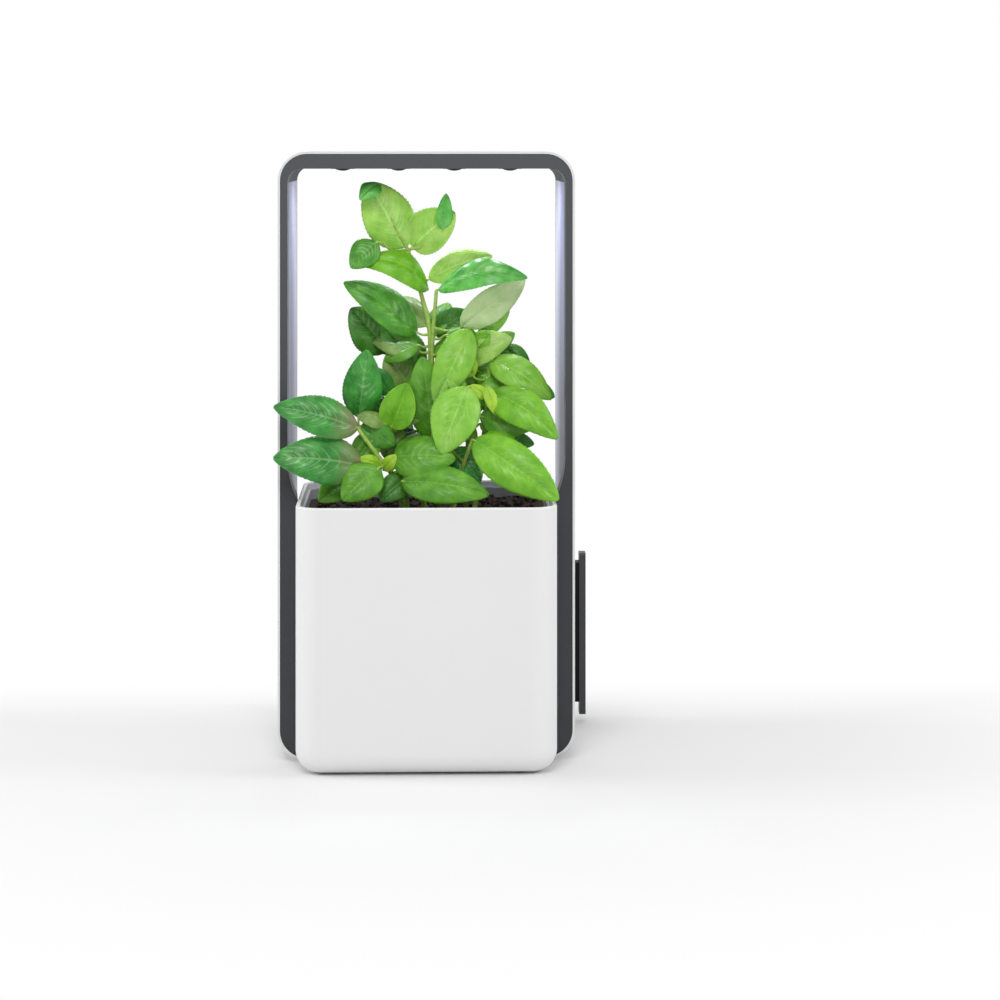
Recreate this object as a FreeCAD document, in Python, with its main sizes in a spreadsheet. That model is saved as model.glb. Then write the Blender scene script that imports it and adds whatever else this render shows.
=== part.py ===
"""Countertop hydroponic garden: a lit arch with a pull-out planter and a side water tank.

Millimetres. X to the right, the front faces -Y, Z up. The origin is on the supporting
surface, under the middle of the arch.
"""
import FreeCAD, Part
import Sketcher
import math
import os
import re

Vector = FreeCAD.Vector

os.makedirs("parts", exist_ok=True)
doc = FreeCAD.newDocument("HydroponicGarden")
size = doc.addObject("Spreadsheet::Sheet", "size")

# Driving dimensions

DIMENSIONS = {
    # Shared: how far a cutting tool runs past what it cuts, how deep a joined piece starts inside
    # its base, and the play round a pushed-in piece, a screw and a piece that slides
    "over": 1, "sunk": 0.5, "fit_gap": 0.2, "screw_gap": 0.05, "slot_gap": 0.5,
    # The arch
    "shell_width": 208, "shell_low": 1.5, "shell_top": 427, "shell_corner": 20.5,
    "shell_wall": 1.6, "frame_depth": 150,
    "bezel_recess": 0.5, "bezel_depth": 20, "rear_bezel_depth": 4,
    "window_width": 194.6, "window_top": 415, "window_corner": 10, "floor_top": 12,
    "floor_wall": 2, "opening_width": 182, "curve_low": 185, "curve_top": 213,
    "liner_wall": 2, "liner_top": 405,
    "foot_width": 150, "foot_depth": 120, "foot_corner": 12,
    "rail_spacing": 120, "rail_width": 8, "rail_end_gap": 2, "rib_wall": 2,
    # The lamp
    "lamp_wall": 2, "lens_pitch": 40.5, "lens_radius": 7, "lens_drop": 2.2,
    "lens_flange": 9, "flange_wall": 1.2, "ring_wall": 1.4, "ring_drop": 0.8,
    "board_length": 150, "board_width": 34, "board_wall": 1.6, "board_low": 420.2,
    "chip_side": 5, "chip_wall": 0.8, "post_radius": 3, "screw_radius": 1.2,
    "screw_head": 2.4, "screw_head_wall": 1.2, "screw_stop": 0.3,
    "lead_wall": 1.4, "lead_width": 6, "lead_gap": 0.8, "ribbon_width": 6,
    # The bay behind the planter
    "bay_front": 36, "bay_top": 165, "bay_wall": 2, "bay_half": 97.2, "partition": -20,
    "cover_wall": 3, "cover_gap": 0.2, "boss_radius": 3.6, "pilot_depth": 12, "shank_depth": 10,
    "vent_left": -12, "vent_right": 40, "vent_low": 112, "vent_pitch": 5, "vent_tall": 2,
    "control_front": 60, "control_low": 60, "control_high": 150, "control_left": -92,
    "control_right": -62, "control_post": 2.2, "control_inset": 4, "control_post_low": 5,
    "control_post_high": 20, "lead_drop": 10,
    "inlet_across": -77, "inlet_height": 76, "inlet_width": 9, "inlet_tall": 3.2, "inlet_gap": 1.6,
    "inlet_wall": 0.35, "inlet_floor": 4, "tongue_width": 6.4, "tongue_wall": 0.7, "tongue_back": 1.6,
    "button_height": 134, "button_radius": 6, "button_stand": 1, "button_gap": 0.3,
    "button_flange": 7.5, "button_flange_wall": 1.7, "button_stem": 1.5,
    "switch_side": 6, "switch_depth": 3.5, "plunger_radius": 1.6, "plunger_length": 1.5,
    "pump_across": -37, "pump_height": 31, "pump_radius": 14, "pump_wall": 2,
    "chamber_half": 5, "motor_length": 26, "motor_radius": 13, "shaft_radius": 1.5,
    "impeller_radius": 11, "impeller_gap": 1, "disc_wall": 1.5, "hub_radius": 3, "hub_length": 5,
    "vane_wall": 1, "vane_length": 4, "vane_gap": 0.3, "shaft_seat": 7, "shaft_reach": 1.5,
    "socket_radius": 6.5, "socket_bore": 4.4, "socket_gap": 1, "outlet_wall": 1.4,
    "outlet_tall": 20, "outlet_seat": 16, "outlet_low": 11, "foot_half": 8, "foot_top": 6,
    "pump_lead_left": -61.5, "pump_lead_half": 1.5, "pump_lead_height": 12, "pump_lead_tall": 3,
    "spout_radius": 4, "spout_bore": 2.6, "spout_top": 196, "spout_bend": 10, "spout_reach": 20,
    # The water tank and its grip
    "tank_end": -16, "tank_front": 41, "tank_depth": 29, "tank_low": 16, "tank_tall": 104,
    "tank_wall": 1.6, "tank_end_wall": 4, "outlet_radius": 4, "outlet_bore": 2.5,
    "outlet_length": 9, "tank_rail_width": 3, "slot_reach": 4,
    "neck_length": 10, "neck_depth": 13, "plate_wall": 4.7, "plate_depth": 14,
    "plate_low": 6.5, "plate_tall": 120.5, "plate_corner": 2,
    # The planter
    "planter_width": 180, "planter_front": -124, "planter_back": 32, "planter_low": 1,
    "planter_top": 184, "planter_corner": 19, "planter_round": 15, "planter_wall": 3,
    "underside": 15.5, "step_front": -78, "rim_round": 1.4, "liner_gap": 0.3, "tub_wall": 2,
    "tub_top": 179, "pad_width": 30, "pad_depth": 14, "pad_across": 48, "pad_front": -100,
    "deck_low": 158, "deck_wall": 3, "post_inset": 8, "tub_post": 5, "medium_top": 173,
    "pot_pitch": 52, "pot_row_gap": 60, "pot_middle": -42, "pot_radius": 20, "pot_foot": 14,
    "pot_tall": 50, "pot_wall": 1.5, "pot_flange": 23, "pot_flange_wall": 2, "pot_gap": 0.4,
    "wick_radius": 3, "wick_lift": 3, "wick_reach": 20,
    "float_across": 26, "float_radius": 9, "float_tall": 15, "float_lift": 0.5,
    "guide_radius": 2, "float_bore": 2.4,
    # The plants
    "leaf_wall": 0.8, "stem_radius": 2.1, "stalk_radius": 0.9,
}

for row, (alias, amount) in enumerate(DIMENSIONS.items(), start=1):
    size.set("A%d" % row, alias)
    size.set("B%d" % row, str(amount))
    size.setAlias("B%d" % row, alias)
doc.recompute()

nodes = []


def in_sheet(expression):
    """The expression with each dimension's name turned into its cell."""
    def cell(match):
        word = match.group()
        return "size." + word if word in DIMENSIONS else word
    return re.sub(r"[a-z][a-z_]*", cell, str(expression))


def number(expression):
    """An expression of the sheet's dimensions, worked out."""
    return float(size.evalExpression(in_sheet(expression)))


def bind(item, place, expression):
    item.setExpression(place, in_sheet(expression))


def put(item, x, y, z):
    """Bind an object's place to three expressions."""
    for axis, expression in (("x", x), ("y", y), ("z", z)):
        bind(item, ".Placement.Base." + axis, expression)


def keep(item):
    """Mark an object as a finished piece, exported under its label."""
    nodes.append(item)
    return item


# Shapes that several pieces use

def block(name, x, y, z):
    """A box between a low and a high expression along each axis."""
    item = doc.addObject("Part::Box", name)
    put(item, x[0], y[0], z[0])
    for side, (low, high) in (("Length", x), ("Width", y), ("Height", z)):
        bind(item, side, "(%s) - (%s)" % (high, low))
    return item


TURNS = {
    "x": FreeCAD.Rotation(Vector(0, 1, 0), 90),
    "y": FreeCAD.Rotation(Vector(1, 0, 0), -90),
    "z": FreeCAD.Rotation(),
}


def rod(name, axis, start, radius, length):
    """A cylinder that runs from start along +axis."""
    item = doc.addObject("Part::Cylinder", name)
    item.Placement = FreeCAD.Placement(Vector(), TURNS[axis])
    put(item, *start)
    bind(item, "Radius", radius)
    bind(item, "Height", length)
    return item


def taper(name, start, low_radius, high_radius, length):
    """An upright cone frustum."""
    item = doc.addObject("Part::Cone", name)
    put(item, *start)
    bind(item, "Radius1", low_radius)
    bind(item, "Radius2", high_radius)
    bind(item, "Height", length)
    return item


def join(name, pieces):
    item = doc.addObject("Part::MultiFuse", name)
    item.Shapes = pieces
    return item


def gather(name, pieces):
    """Separate solids that share one node."""
    item = doc.addObject("Part::Compound", name)
    item.Links = pieces
    return item


def cut(name, base, tools):
    item = doc.addObject("Part::Cut", name)
    item.Base = base
    item.Tool = tools[0] if len(tools) == 1 else join(name + "_tools", tools)
    return item


def plane(body, role):
    return [feature for feature in body.Origin.OriginFeatures if feature.Role == role][0]


def new_sketch(body, role, name):
    sketch = body.newObject("Sketcher::SketchObject", name)
    sketch.AttachmentSupport = [(plane(body, role), "")]
    sketch.MapMode = "FlatFace"
    return sketch


def measure(sketch, kind, first, second, expression):
    """A driving constraint between two (geometry, point) pairs."""
    value = number(expression)
    index = sketch.addConstraint(Sketcher.Constraint(kind, *first, *second, value))
    sketch.setExpression("Constraints[%d]" % index, in_sheet(expression))


ORIGIN = (-1, 1)
START = 1
END = 2


def rounded_rectangle(sketch, left, right, low, high, radius):
    """Four lines and four tangent corner arcs, bound to five expressions."""
    x0, x1, y0, y1, r = [number(item) for item in (left, right, low, high, radius)]
    corners = [(x1 - r, y0 + r, -90), (x1 - r, y1 - r, 0), (x0 + r, y1 - r, 90), (x0 + r, y0 + r, 180)]
    runs = [((x0 + r, y0), (x1 - r, y0)), ((x1, y0 + r), (x1, y1 - r)),
            ((x1 - r, y1), (x0 + r, y1)), ((x0, y1 - r), (x0, y0 + r))]
    lines = []
    arcs = []
    for (start, end), (cx, cy, turn) in zip(runs, corners):
        lines.append(sketch.addGeometry(Part.LineSegment(Vector(*start, 0), Vector(*end, 0))))
        circle = Part.Circle(Vector(cx, cy, 0), Vector(0, 0, 1), r)
        sweep = (math.radians(turn), math.radians(turn + 90))
        arcs.append(sketch.addGeometry(Part.ArcOfCircle(circle, *sweep)))
    for index, line in enumerate(lines):
        after = lines[(index + 1) % 4]
        sketch.addConstraint(Sketcher.Constraint("Tangent", line, END, arcs[index], START))
        sketch.addConstraint(Sketcher.Constraint("Tangent", arcs[index], END, after, START))
        level = "Horizontal" if index % 2 == 0 else "Vertical"
        sketch.addConstraint(Sketcher.Constraint(level, line))
    for arc in arcs:
        index = sketch.addConstraint(Sketcher.Constraint("Radius", arc, r))
        sketch.setExpression("Constraints[%d]" % index, in_sheet(radius))
    measure(sketch, "DistanceY", ORIGIN, (lines[0], START), low)
    measure(sketch, "DistanceX", ORIGIN, (lines[1], START), right)
    measure(sketch, "DistanceY", ORIGIN, (lines[2], START), high)
    measure(sketch, "DistanceX", ORIGIN, (lines[3], START), left)


def pad(body, sketch, name, length, backwards=False):
    item = body.newObject("PartDesign::Pad", name)
    item.Profile = sketch
    item.Reversed = backwards
    bind(item, "Length", length)
    return item


def ring_body(name, outer, inner, front, back):
    """A rounded rectangular ring, seen from the front, between two depths."""
    body = doc.addObject("PartDesign::Body", name)
    sketch = new_sketch(body, "XZ_Plane", name + "_outline")
    rounded_rectangle(sketch, *outer)
    rounded_rectangle(sketch, *inner)
    pad(body, sketch, name + "_pad", "(%s) - (%s)" % (back, front), backwards=True)
    put(body, "0", front, "0")
    return body


def front_body(name, outline, front, back):
    """A rounded rectangular plate, seen from the front, between two depths."""
    body = doc.addObject("PartDesign::Body", name)
    sketch = new_sketch(body, "XZ_Plane", name + "_outline")
    rounded_rectangle(sketch, *outline)
    pad(body, sketch, name + "_pad", "(%s) - (%s)" % (back, front), backwards=True)
    put(body, "0", front, "0")
    return body


def plan_body(name, outline, low, high):
    """A rounded rectangular prism, seen from above, between two heights."""
    body = doc.addObject("PartDesign::Body", name)
    sketch = new_sketch(body, "XY_Plane", name + "_outline")
    rounded_rectangle(sketch, *outline)
    pad(body, sketch, name + "_pad", "(%s) - (%s)" % (high, low))
    put(body, "0", "0", low)
    return body


# Profiles of the arch, seen from the front: left, right, low, high, corner radius

SHELL_OUTSIDE = ("-shell_width / 2", "shell_width / 2", "shell_low", "shell_top", "shell_corner")
SHELL_INSIDE = ("-shell_width / 2 + shell_wall", "shell_width / 2 - shell_wall",
                "shell_low + shell_wall", "shell_top - shell_wall", "shell_corner - shell_wall")
WINDOW = ("-window_width / 2", "window_width / 2", "floor_top", "window_top", "window_corner")

FRONT = "-frame_depth / 2"
BACK = "frame_depth / 2"
BEZEL_BACK = "-frame_depth / 2 + bezel_depth"
REAR_BEZEL_FRONT = "frame_depth / 2 - rear_bezel_depth"
COVER_BACK = "frame_depth / 2 - rear_bezel_depth + cover_wall"

TANK_SLOT = {
    "y": ("tank_front - slot_gap", "tank_front + tank_depth + slot_gap"),
    "z": ("tank_low - slot_gap", "tank_low + tank_tall + slot_gap"),
}


def tank_slot(name):
    """The way that the water tank takes through the right-hand side."""
    return block(name, ("window_width / 2 - liner_wall - slot_reach", "shell_width / 2 + over"),
                 TANK_SLOT["y"], TANK_SLOT["z"])


def outer_shell():
    ring = ring_body("shell_ring", SHELL_OUTSIDE, SHELL_INSIDE, FRONT, BACK)
    keep(cut("outer_shell", ring, [tank_slot("shell_slot")]))


def cheek(body, side):
    """The stretch beside the planter, where the bezel's inner edge steps in along a curve."""
    sketch = new_sketch(body, "XZ_Plane", "cheek_%s" % ("left" if side < 0 else "right"))
    places = {
        "wide": "%d * window_width / 2" % side,
        "narrow": "%d * opening_width / 2" % side,
    }
    wide = number(places["wide"])
    narrow = number(places["narrow"])
    low = number("floor_top")
    step = number("curve_low")
    top = number("curve_top")
    radius = ((top - step) ** 2 + (wide - narrow) ** 2) / (2 * abs(wide - narrow))
    centre = Vector(wide - side * radius, top, 0)
    reach = math.asin((top - step) / radius)
    circle = Part.Circle(centre, Vector(0, 0, 1), radius)
    sweep = (-reach, 0.0) if side > 0 else (math.pi, math.pi + reach)
    floor = sketch.addGeometry(Part.LineSegment(Vector(wide, low, 0), Vector(narrow, low, 0)))
    edge = sketch.addGeometry(Part.LineSegment(Vector(narrow, low, 0), Vector(narrow, step, 0)))
    curve = sketch.addGeometry(Part.ArcOfCircle(circle, *sweep))
    wall = sketch.addGeometry(Part.LineSegment(Vector(wide, top, 0), Vector(wide, low, 0)))
    curve_low = START if side > 0 else END
    curve_top = END if side > 0 else START
    for first, second in (((floor, END), (edge, START)), ((edge, END), (curve, curve_low)),
                          ((wall, END), (floor, START))):
        sketch.addConstraint(Sketcher.Constraint("Coincident", *first, *second))
    sketch.addConstraint(Sketcher.Constraint("Tangent", curve, curve_top, wall, START))
    sketch.addConstraint(Sketcher.Constraint("Vertical", edge))
    sketch.addConstraint(Sketcher.Constraint("Vertical", wall))
    sketch.addConstraint(Sketcher.Constraint("Horizontal", floor))
    measure(sketch, "DistanceX", ORIGIN, (floor, START), places["wide"])
    measure(sketch, "DistanceX", ORIGIN, (floor, END), places["narrow"])
    measure(sketch, "DistanceY", ORIGIN, (floor, START), "floor_top")
    measure(sketch, "DistanceY", ORIGIN, (edge, END), "curve_low")
    measure(sketch, "DistanceY", ORIGIN, (wall, START), "curve_top")
    return pad(body, sketch, sketch.Name + "_pad", "bezel_depth - bezel_recess", backwards=True)


def bezels():
    front = FRONT + " + bezel_recess"
    body = ring_body("front_bezel", SHELL_INSIDE, WINDOW, front, BEZEL_BACK)
    for side in (-1, 1):
        cheek(body, side)
    keep(body)
    keep(ring_body("rear_bezel", SHELL_INSIDE, WINDOW, REAR_BEZEL_FRONT, BACK + " - bezel_recess"))


LEAD_HEIGHT = "control_high - lead_drop"
LEAD_FRONT = "control_front - lead_width"


def lead_slot(name):
    """The gap in the left wall that the lamp lead passes through."""
    return block(name, ("-shell_width / 2 + shell_wall + slot_gap", "-bay_half + bay_wall + over"),
                 (LEAD_FRONT + " - slot_gap", "control_front + slot_gap"),
                 (LEAD_HEIGHT + " - slot_gap", LEAD_HEIGHT + " + lead_wall + slot_gap"))


def liners():
    depth = (BEZEL_BACK, REAR_BEZEL_FRONT)
    tall = ("floor_top", "liner_top")
    left = block("left_wall", ("-window_width / 2 - liner_wall", "-window_width / 2"), depth, tall)
    right = block("right_wall", ("window_width / 2", "window_width / 2 + liner_wall"), depth, tall)
    keep(cut("left_liner", left, [lead_slot("liner_lead_slot")]))
    keep(cut("right_liner", right, [tank_slot("liner_tank_slot")]))


RIB_PLACES = (-80, -30, 30, 80)


def frame_floor():
    """The plate that the bay and the guide rails stand on, on ribs above the shell."""
    depth = (BEZEL_BACK, REAR_BEZEL_FRONT)
    plate = block("floor_plate", ("-window_width / 2", "window_width / 2"), depth,
                  ("floor_top - floor_wall", "floor_top"))
    ribs = []
    for index, place in enumerate(RIB_PLACES):
        ribs.append(block("floor_rib_%d" % index, ("%d - rib_wall / 2" % place, "%d + rib_wall / 2" % place),
                          depth, ("shell_low + shell_wall", "floor_top - floor_wall")))
    keep(join("frame_floor", [plate] + ribs))
    rails = []
    for side in (-1, 1):
        middle = "%d * rail_spacing / 2" % side
        rails.append(block("rail_%s" % ("left" if side < 0 else "right"),
                           (middle + " - rail_width / 2", middle + " + rail_width / 2"),
                           (BEZEL_BACK, "bay_front - rail_end_gap"), ("floor_top", "underside")))
    keep(gather("guide_rails", rails))
    foot = ("-foot_width / 2", "foot_width / 2", "-foot_depth / 2", "foot_depth / 2", "foot_corner")
    keep(plan_body("base_foot", foot, "0", "shell_low"))


# The lamp across the top

LENS_PLACES = (-1.5, -0.5, 0.5, 1.5)
PLATE_TOP = "window_top + lamp_wall"


def lens_across(place):
    return "%s * lens_pitch" % place


def lamp_housing():
    """The flat plate over the plants, and at each end a curved piece that meets the side wall."""
    flat = ("-window_width / 2 + window_corner", "window_width / 2 - window_corner")
    depth = (BEZEL_BACK, REAR_BEZEL_FRONT)
    outer = ("-window_width / 2 - lamp_wall", "window_width / 2 + lamp_wall", "floor_top - lamp_wall",
             PLATE_TOP, "window_corner + lamp_wall")
    ring = ring_body("lamp_ring", outer, WINDOW, *depth)
    below = block("lamp_below", ("-shell_width", "shell_width"), ("-frame_depth", "frame_depth"),
                  ("-over", "liner_top"))
    middle = block("lamp_middle", flat, ("-frame_depth", "frame_depth"), ("liner_top - over", "shell_top"))
    keep(cut("lamp_corners", ring, [below, middle]))
    plate = block("lamp_plate", flat, depth, ("window_top", PLATE_TOP))
    holes = []
    for index, place in enumerate(LENS_PLACES):
        holes.append(rod("lens_hole_%d" % index, "z", (lens_across(place), "0", "window_top - over"),
                         "lens_radius + fit_gap", "lamp_wall + 2 * over"))
    posts = []
    pilots = []
    for index, place in enumerate((-1, 1)):
        across = "%d * lens_pitch" % place
        posts.append(rod("lamp_post_%d" % index, "z", (across, "0", PLATE_TOP + " - sunk"),
                         "post_radius", "board_low - window_top - lamp_wall + sunk"))
        pilots.append(rod("lamp_pilot_%d" % index, "z", (across, "0", PLATE_TOP),
                          "screw_radius + screw_gap", "board_low - window_top"))
    keep(cut("lamp_housing", join("lamp_frame", [plate] + posts), holes + pilots))


def lamp_parts():
    board = block("board_plate", ("-board_length / 2", "board_length / 2"),
                  ("-board_width / 2", "board_width / 2"), ("board_low", "board_low + board_wall"))
    holes = []
    screws = []
    for index, place in enumerate((-1, 1)):
        across = "%d * lens_pitch" % place
        holes.append(rod("board_hole_%d" % index, "z", (across, "0", "board_low - over"),
                         "screw_radius + screw_gap", "board_wall + 2 * over"))
        shank = rod("board_shank_%d" % index, "z", (across, "0", PLATE_TOP + " + screw_stop"),
                    "screw_radius", "board_low + board_wall - window_top - lamp_wall - screw_stop")
        head = rod("board_head_%d" % index, "z", (across, "0", "board_low + board_wall"),
                   "screw_head", "screw_head_wall")
        screws.append(join("board_screw_%d" % index, [shank, head]))
    keep(cut("led_board", board, holes))
    keep(gather("led_board_screws", screws))
    chips = []
    lenses = []
    rings = []
    for index, place in enumerate(LENS_PLACES):
        across = lens_across(place)
        chips.append(block("chip_%d" % index, (across + " - chip_side / 2", across + " + chip_side / 2"),
                           ("-chip_side / 2", "chip_side / 2"), ("board_low - chip_wall", "board_low")))
        lenses.append(lens(index, place))
        outside = rod("ring_outside_%d" % index, "z", (across, "0", "window_top - ring_drop"),
                      "lens_radius + fit_gap + ring_wall", "ring_drop")
        inside = rod("ring_inside_%d" % index, "z", (across, "0", "window_top - ring_drop - over"),
                     "lens_radius + fit_gap", "ring_drop + 2 * over")
        rings.append(cut("ring_%d" % index, outside, [inside]))
    keep(gather("led_chips", chips))
    keep(gather("led_lenses", lenses))
    keep(gather("led_lens_rings", rings))


def lens(index, place):
    """A flanged disc with a shallow dome below it."""
    body = doc.addObject("PartDesign::Body", "lens_%d" % index)
    sketch = new_sketch(body, "XZ_Plane", "lens_section_%d" % index)
    radius = number("lens_radius")
    drop = number("lens_drop")
    flange = number("lens_flange")
    shoulder = number("lamp_wall")
    top = number("lamp_wall + flange_wall")
    dome_radius = (radius ** 2 + drop ** 2) / (2 * drop)
    corners = [(radius, 0), (radius, shoulder), (flange, shoulder), (flange, top), (0, top), (0, -drop)]
    for start, end in zip(corners, corners[1:]):
        sketch.addGeometry(Part.LineSegment(Vector(*start, 0), Vector(*end, 0)))
    circle = Part.Circle(Vector(0, dome_radius - drop, 0), Vector(0, 0, 1), dome_radius)
    turn = math.asin(radius / dome_radius)
    sketch.addGeometry(Part.ArcOfCircle(circle, -math.pi / 2, -math.pi / 2 + turn))
    sides = len(corners) - 1
    arc = sides
    for line in range(sides - 1):
        sketch.addConstraint(Sketcher.Constraint("Coincident", line, END, line + 1, START))
    sketch.addConstraint(Sketcher.Constraint("Coincident", sides - 1, END, arc, START))
    sketch.addConstraint(Sketcher.Constraint("Coincident", arc, END, 0, START))
    for line in (0, 2, 4):
        sketch.addConstraint(Sketcher.Constraint("Vertical", line))
    for line in (1, 3):
        sketch.addConstraint(Sketcher.Constraint("Horizontal", line))
    measure(sketch, "DistanceX", ORIGIN, (0, START), "lens_radius")
    measure(sketch, "DistanceY", ORIGIN, (0, START), "0")
    measure(sketch, "DistanceY", ORIGIN, (0, END), "lamp_wall")
    measure(sketch, "DistanceX", ORIGIN, (2, START), "lens_flange")
    measure(sketch, "DistanceY", ORIGIN, (2, END), "lamp_wall + flange_wall")
    measure(sketch, "DistanceX", ORIGIN, (4, START), "0")
    measure(sketch, "DistanceY", ORIGIN, (4, END), "-lens_drop")
    sketch.addConstraint(Sketcher.Constraint("PointOnObject", arc, 3, -2))
    turned = body.newObject("PartDesign::Revolution", "lens_turn_%d" % index)
    turned.Profile = sketch
    turned.ReferenceAxis = (sketch, ["V_Axis"])
    turned.Angle = 360
    put(body, lens_across(place), "0", "window_top")
    return body


def lamp_lead():
    """The flat lead from the control board up inside the left wall to the lamp."""
    outside = number("shell_corner - shell_wall - lead_gap")
    inside = outside - number("lead_wall")
    centre = Vector(number("-shell_width / 2 + shell_corner"), 0, number("shell_top - shell_corner"))
    front = number(LEAD_FRONT)
    width = number("lead_width")
    wall = number("lead_wall")
    low = number(LEAD_HEIGHT)
    board_top = number("board_low + board_wall")
    board_end = number("-board_length / 2")
    ribbon = number("ribbon_width")
    over = number("over")

    def strip(x0, x1, z0, z1):
        return Part.makeBox(x1 - x0, width, z1 - z0, Vector(x0, front, z0))

    start = Vector(centre.x, front, centre.z)
    bend = Part.makeCylinder(outside, width, start, Vector(0, 1, 0), 360)
    bend = bend.cut(Part.makeCylinder(inside, width, start, Vector(0, 1, 0), 360))
    corner = Part.makeBox(outside + over, width, outside + over,
                          Vector(centre.x - outside - over, front, centre.z))
    bend = bend.common(corner)
    riser = strip(centre.x - outside, centre.x - inside, low, centre.z)
    entry = strip(centre.x - outside, number("control_left + control_inset"), low, low + wall)
    crossing = strip(centre.x, board_end + ribbon, centre.z + inside, centre.z + outside)
    shape = bend.fuse([riser, entry, crossing])
    ribbon_front = number("board_width / 2") - ribbon
    run = Part.makeBox(ribbon, front + width - ribbon_front, wall,
                       Vector(board_end, ribbon_front, centre.z + inside))
    tail = Part.makeBox(ribbon, ribbon, centre.z + inside - board_top,
                        Vector(board_end, ribbon_front, board_top))
    item = doc.addObject("Part::Feature", "lamp_lead")
    item.Shape = shape.fuse([run, tail]).removeSplitter()
    keep(item)


# The bay behind the planter: pump, electronics and the water tank's room

# Across and height of each screw that holds the rear cover
COVER_SCREWS = (("-91", "157"), ("0", "157"), ("91", "157"), ("-91", "20"), ("-27", "100"))
VENTS = 7
PUMP_MIDDLE = "tank_front + tank_depth / 2"


def rear_housing():
    outside = block("bay_outside", ("-bay_half", "bay_half"), ("bay_front", REAR_BEZEL_FRONT),
                    ("floor_top", "bay_top"))
    depth = ("bay_front + bay_wall", "frame_depth")
    tall = ("floor_top + bay_wall", "bay_top - bay_wall")
    tools = [
        block("bay_left_room", ("-bay_half + bay_wall", "partition"), depth, tall),
        block("bay_right_room", ("partition + bay_wall", "bay_half - bay_wall"), depth, tall),
        tank_slot("bay_tank_slot"),
        lead_slot("bay_lead_slot"),
        rod("bay_outlet_hole", "x", ("partition - over", PUMP_MIDDLE, "pump_height"),
            "outlet_radius + slot_gap", "bay_wall + 2 * over"),
        rod("bay_spout_hole", "z", ("pump_across", PUMP_MIDDLE, "bay_top - bay_wall - over"),
            "spout_radius + fit_gap", "bay_wall + 2 * over"),
    ]
    room = cut("bay_room", outside, tools)
    bosses = []
    pilots = []
    for index, (across, height) in enumerate(COVER_SCREWS):
        bosses.append(rod("boss_%d" % index, "y", (across, "bay_front + sunk", height), "boss_radius",
                          "(%s) - bay_front - sunk" % REAR_BEZEL_FRONT))
        pilot_front = "(%s) - pilot_depth" % REAR_BEZEL_FRONT
        pilots.append(rod("boss_pilot_%d" % index, "y", (across, pilot_front, height),
                          "screw_radius + screw_gap", "pilot_depth + over"))
    keep(cut("rear_housing", join("bay_frame", [room] + bosses), pilots))


def rear_cover():
    outline = ("-bay_half", "bay_half", "floor_top + cover_gap", "bay_top", "window_corner")
    plate = front_body("cover_plate", outline, REAR_BEZEL_FRONT, COVER_BACK)
    front = "(%s) - over" % REAR_BEZEL_FRONT
    past = "(%s) + over" % COVER_BACK
    through = "cover_wall + 2 * over"
    tools = [
        rod("button_hole", "y", ("inlet_across", front, "button_height"), "button_radius + button_gap",
            through),
        block("inlet_hole",
              ("inlet_across - inlet_width / 2 - inlet_gap", "inlet_across + inlet_width / 2 + inlet_gap"),
              (front, past),
              ("inlet_height - inlet_tall / 2 - inlet_gap", "inlet_height + inlet_tall / 2 + inlet_gap")),
    ]
    screws = []
    head_front = "(%s) - screw_head_wall - fit_gap" % COVER_BACK
    for index, (across, height) in enumerate(COVER_SCREWS):
        tools.append(rod("cover_hole_%d" % index, "y", (across, front, height), "screw_radius + screw_gap",
                         through))
        tools.append(rod("cover_sink_%d" % index, "y", (across, head_front, height),
                         "screw_head + screw_gap", "cover_wall"))
        shank = rod("cover_shank_%d" % index, "y", (across, "(%s) - shank_depth" % REAR_BEZEL_FRONT, height),
                    "screw_radius", "shank_depth + cover_wall - screw_head_wall - fit_gap")
        head = rod("cover_head_%d" % index, "y", (across, head_front, height), "screw_head",
                   "screw_head_wall")
        screws.append(join("cover_screw_%d" % index, [shank, head]))
    vents = []
    for index in range(VENTS):
        low = "vent_low + %d * vent_pitch" % index
        vents.append(block("vent_%d" % index, ("vent_left", "vent_right"), (front, past),
                           (low, low + " + vent_tall")))
    keep(cut("rear_cover", plate, tools + vents))
    keep(gather("cover_screws", screws))


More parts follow.
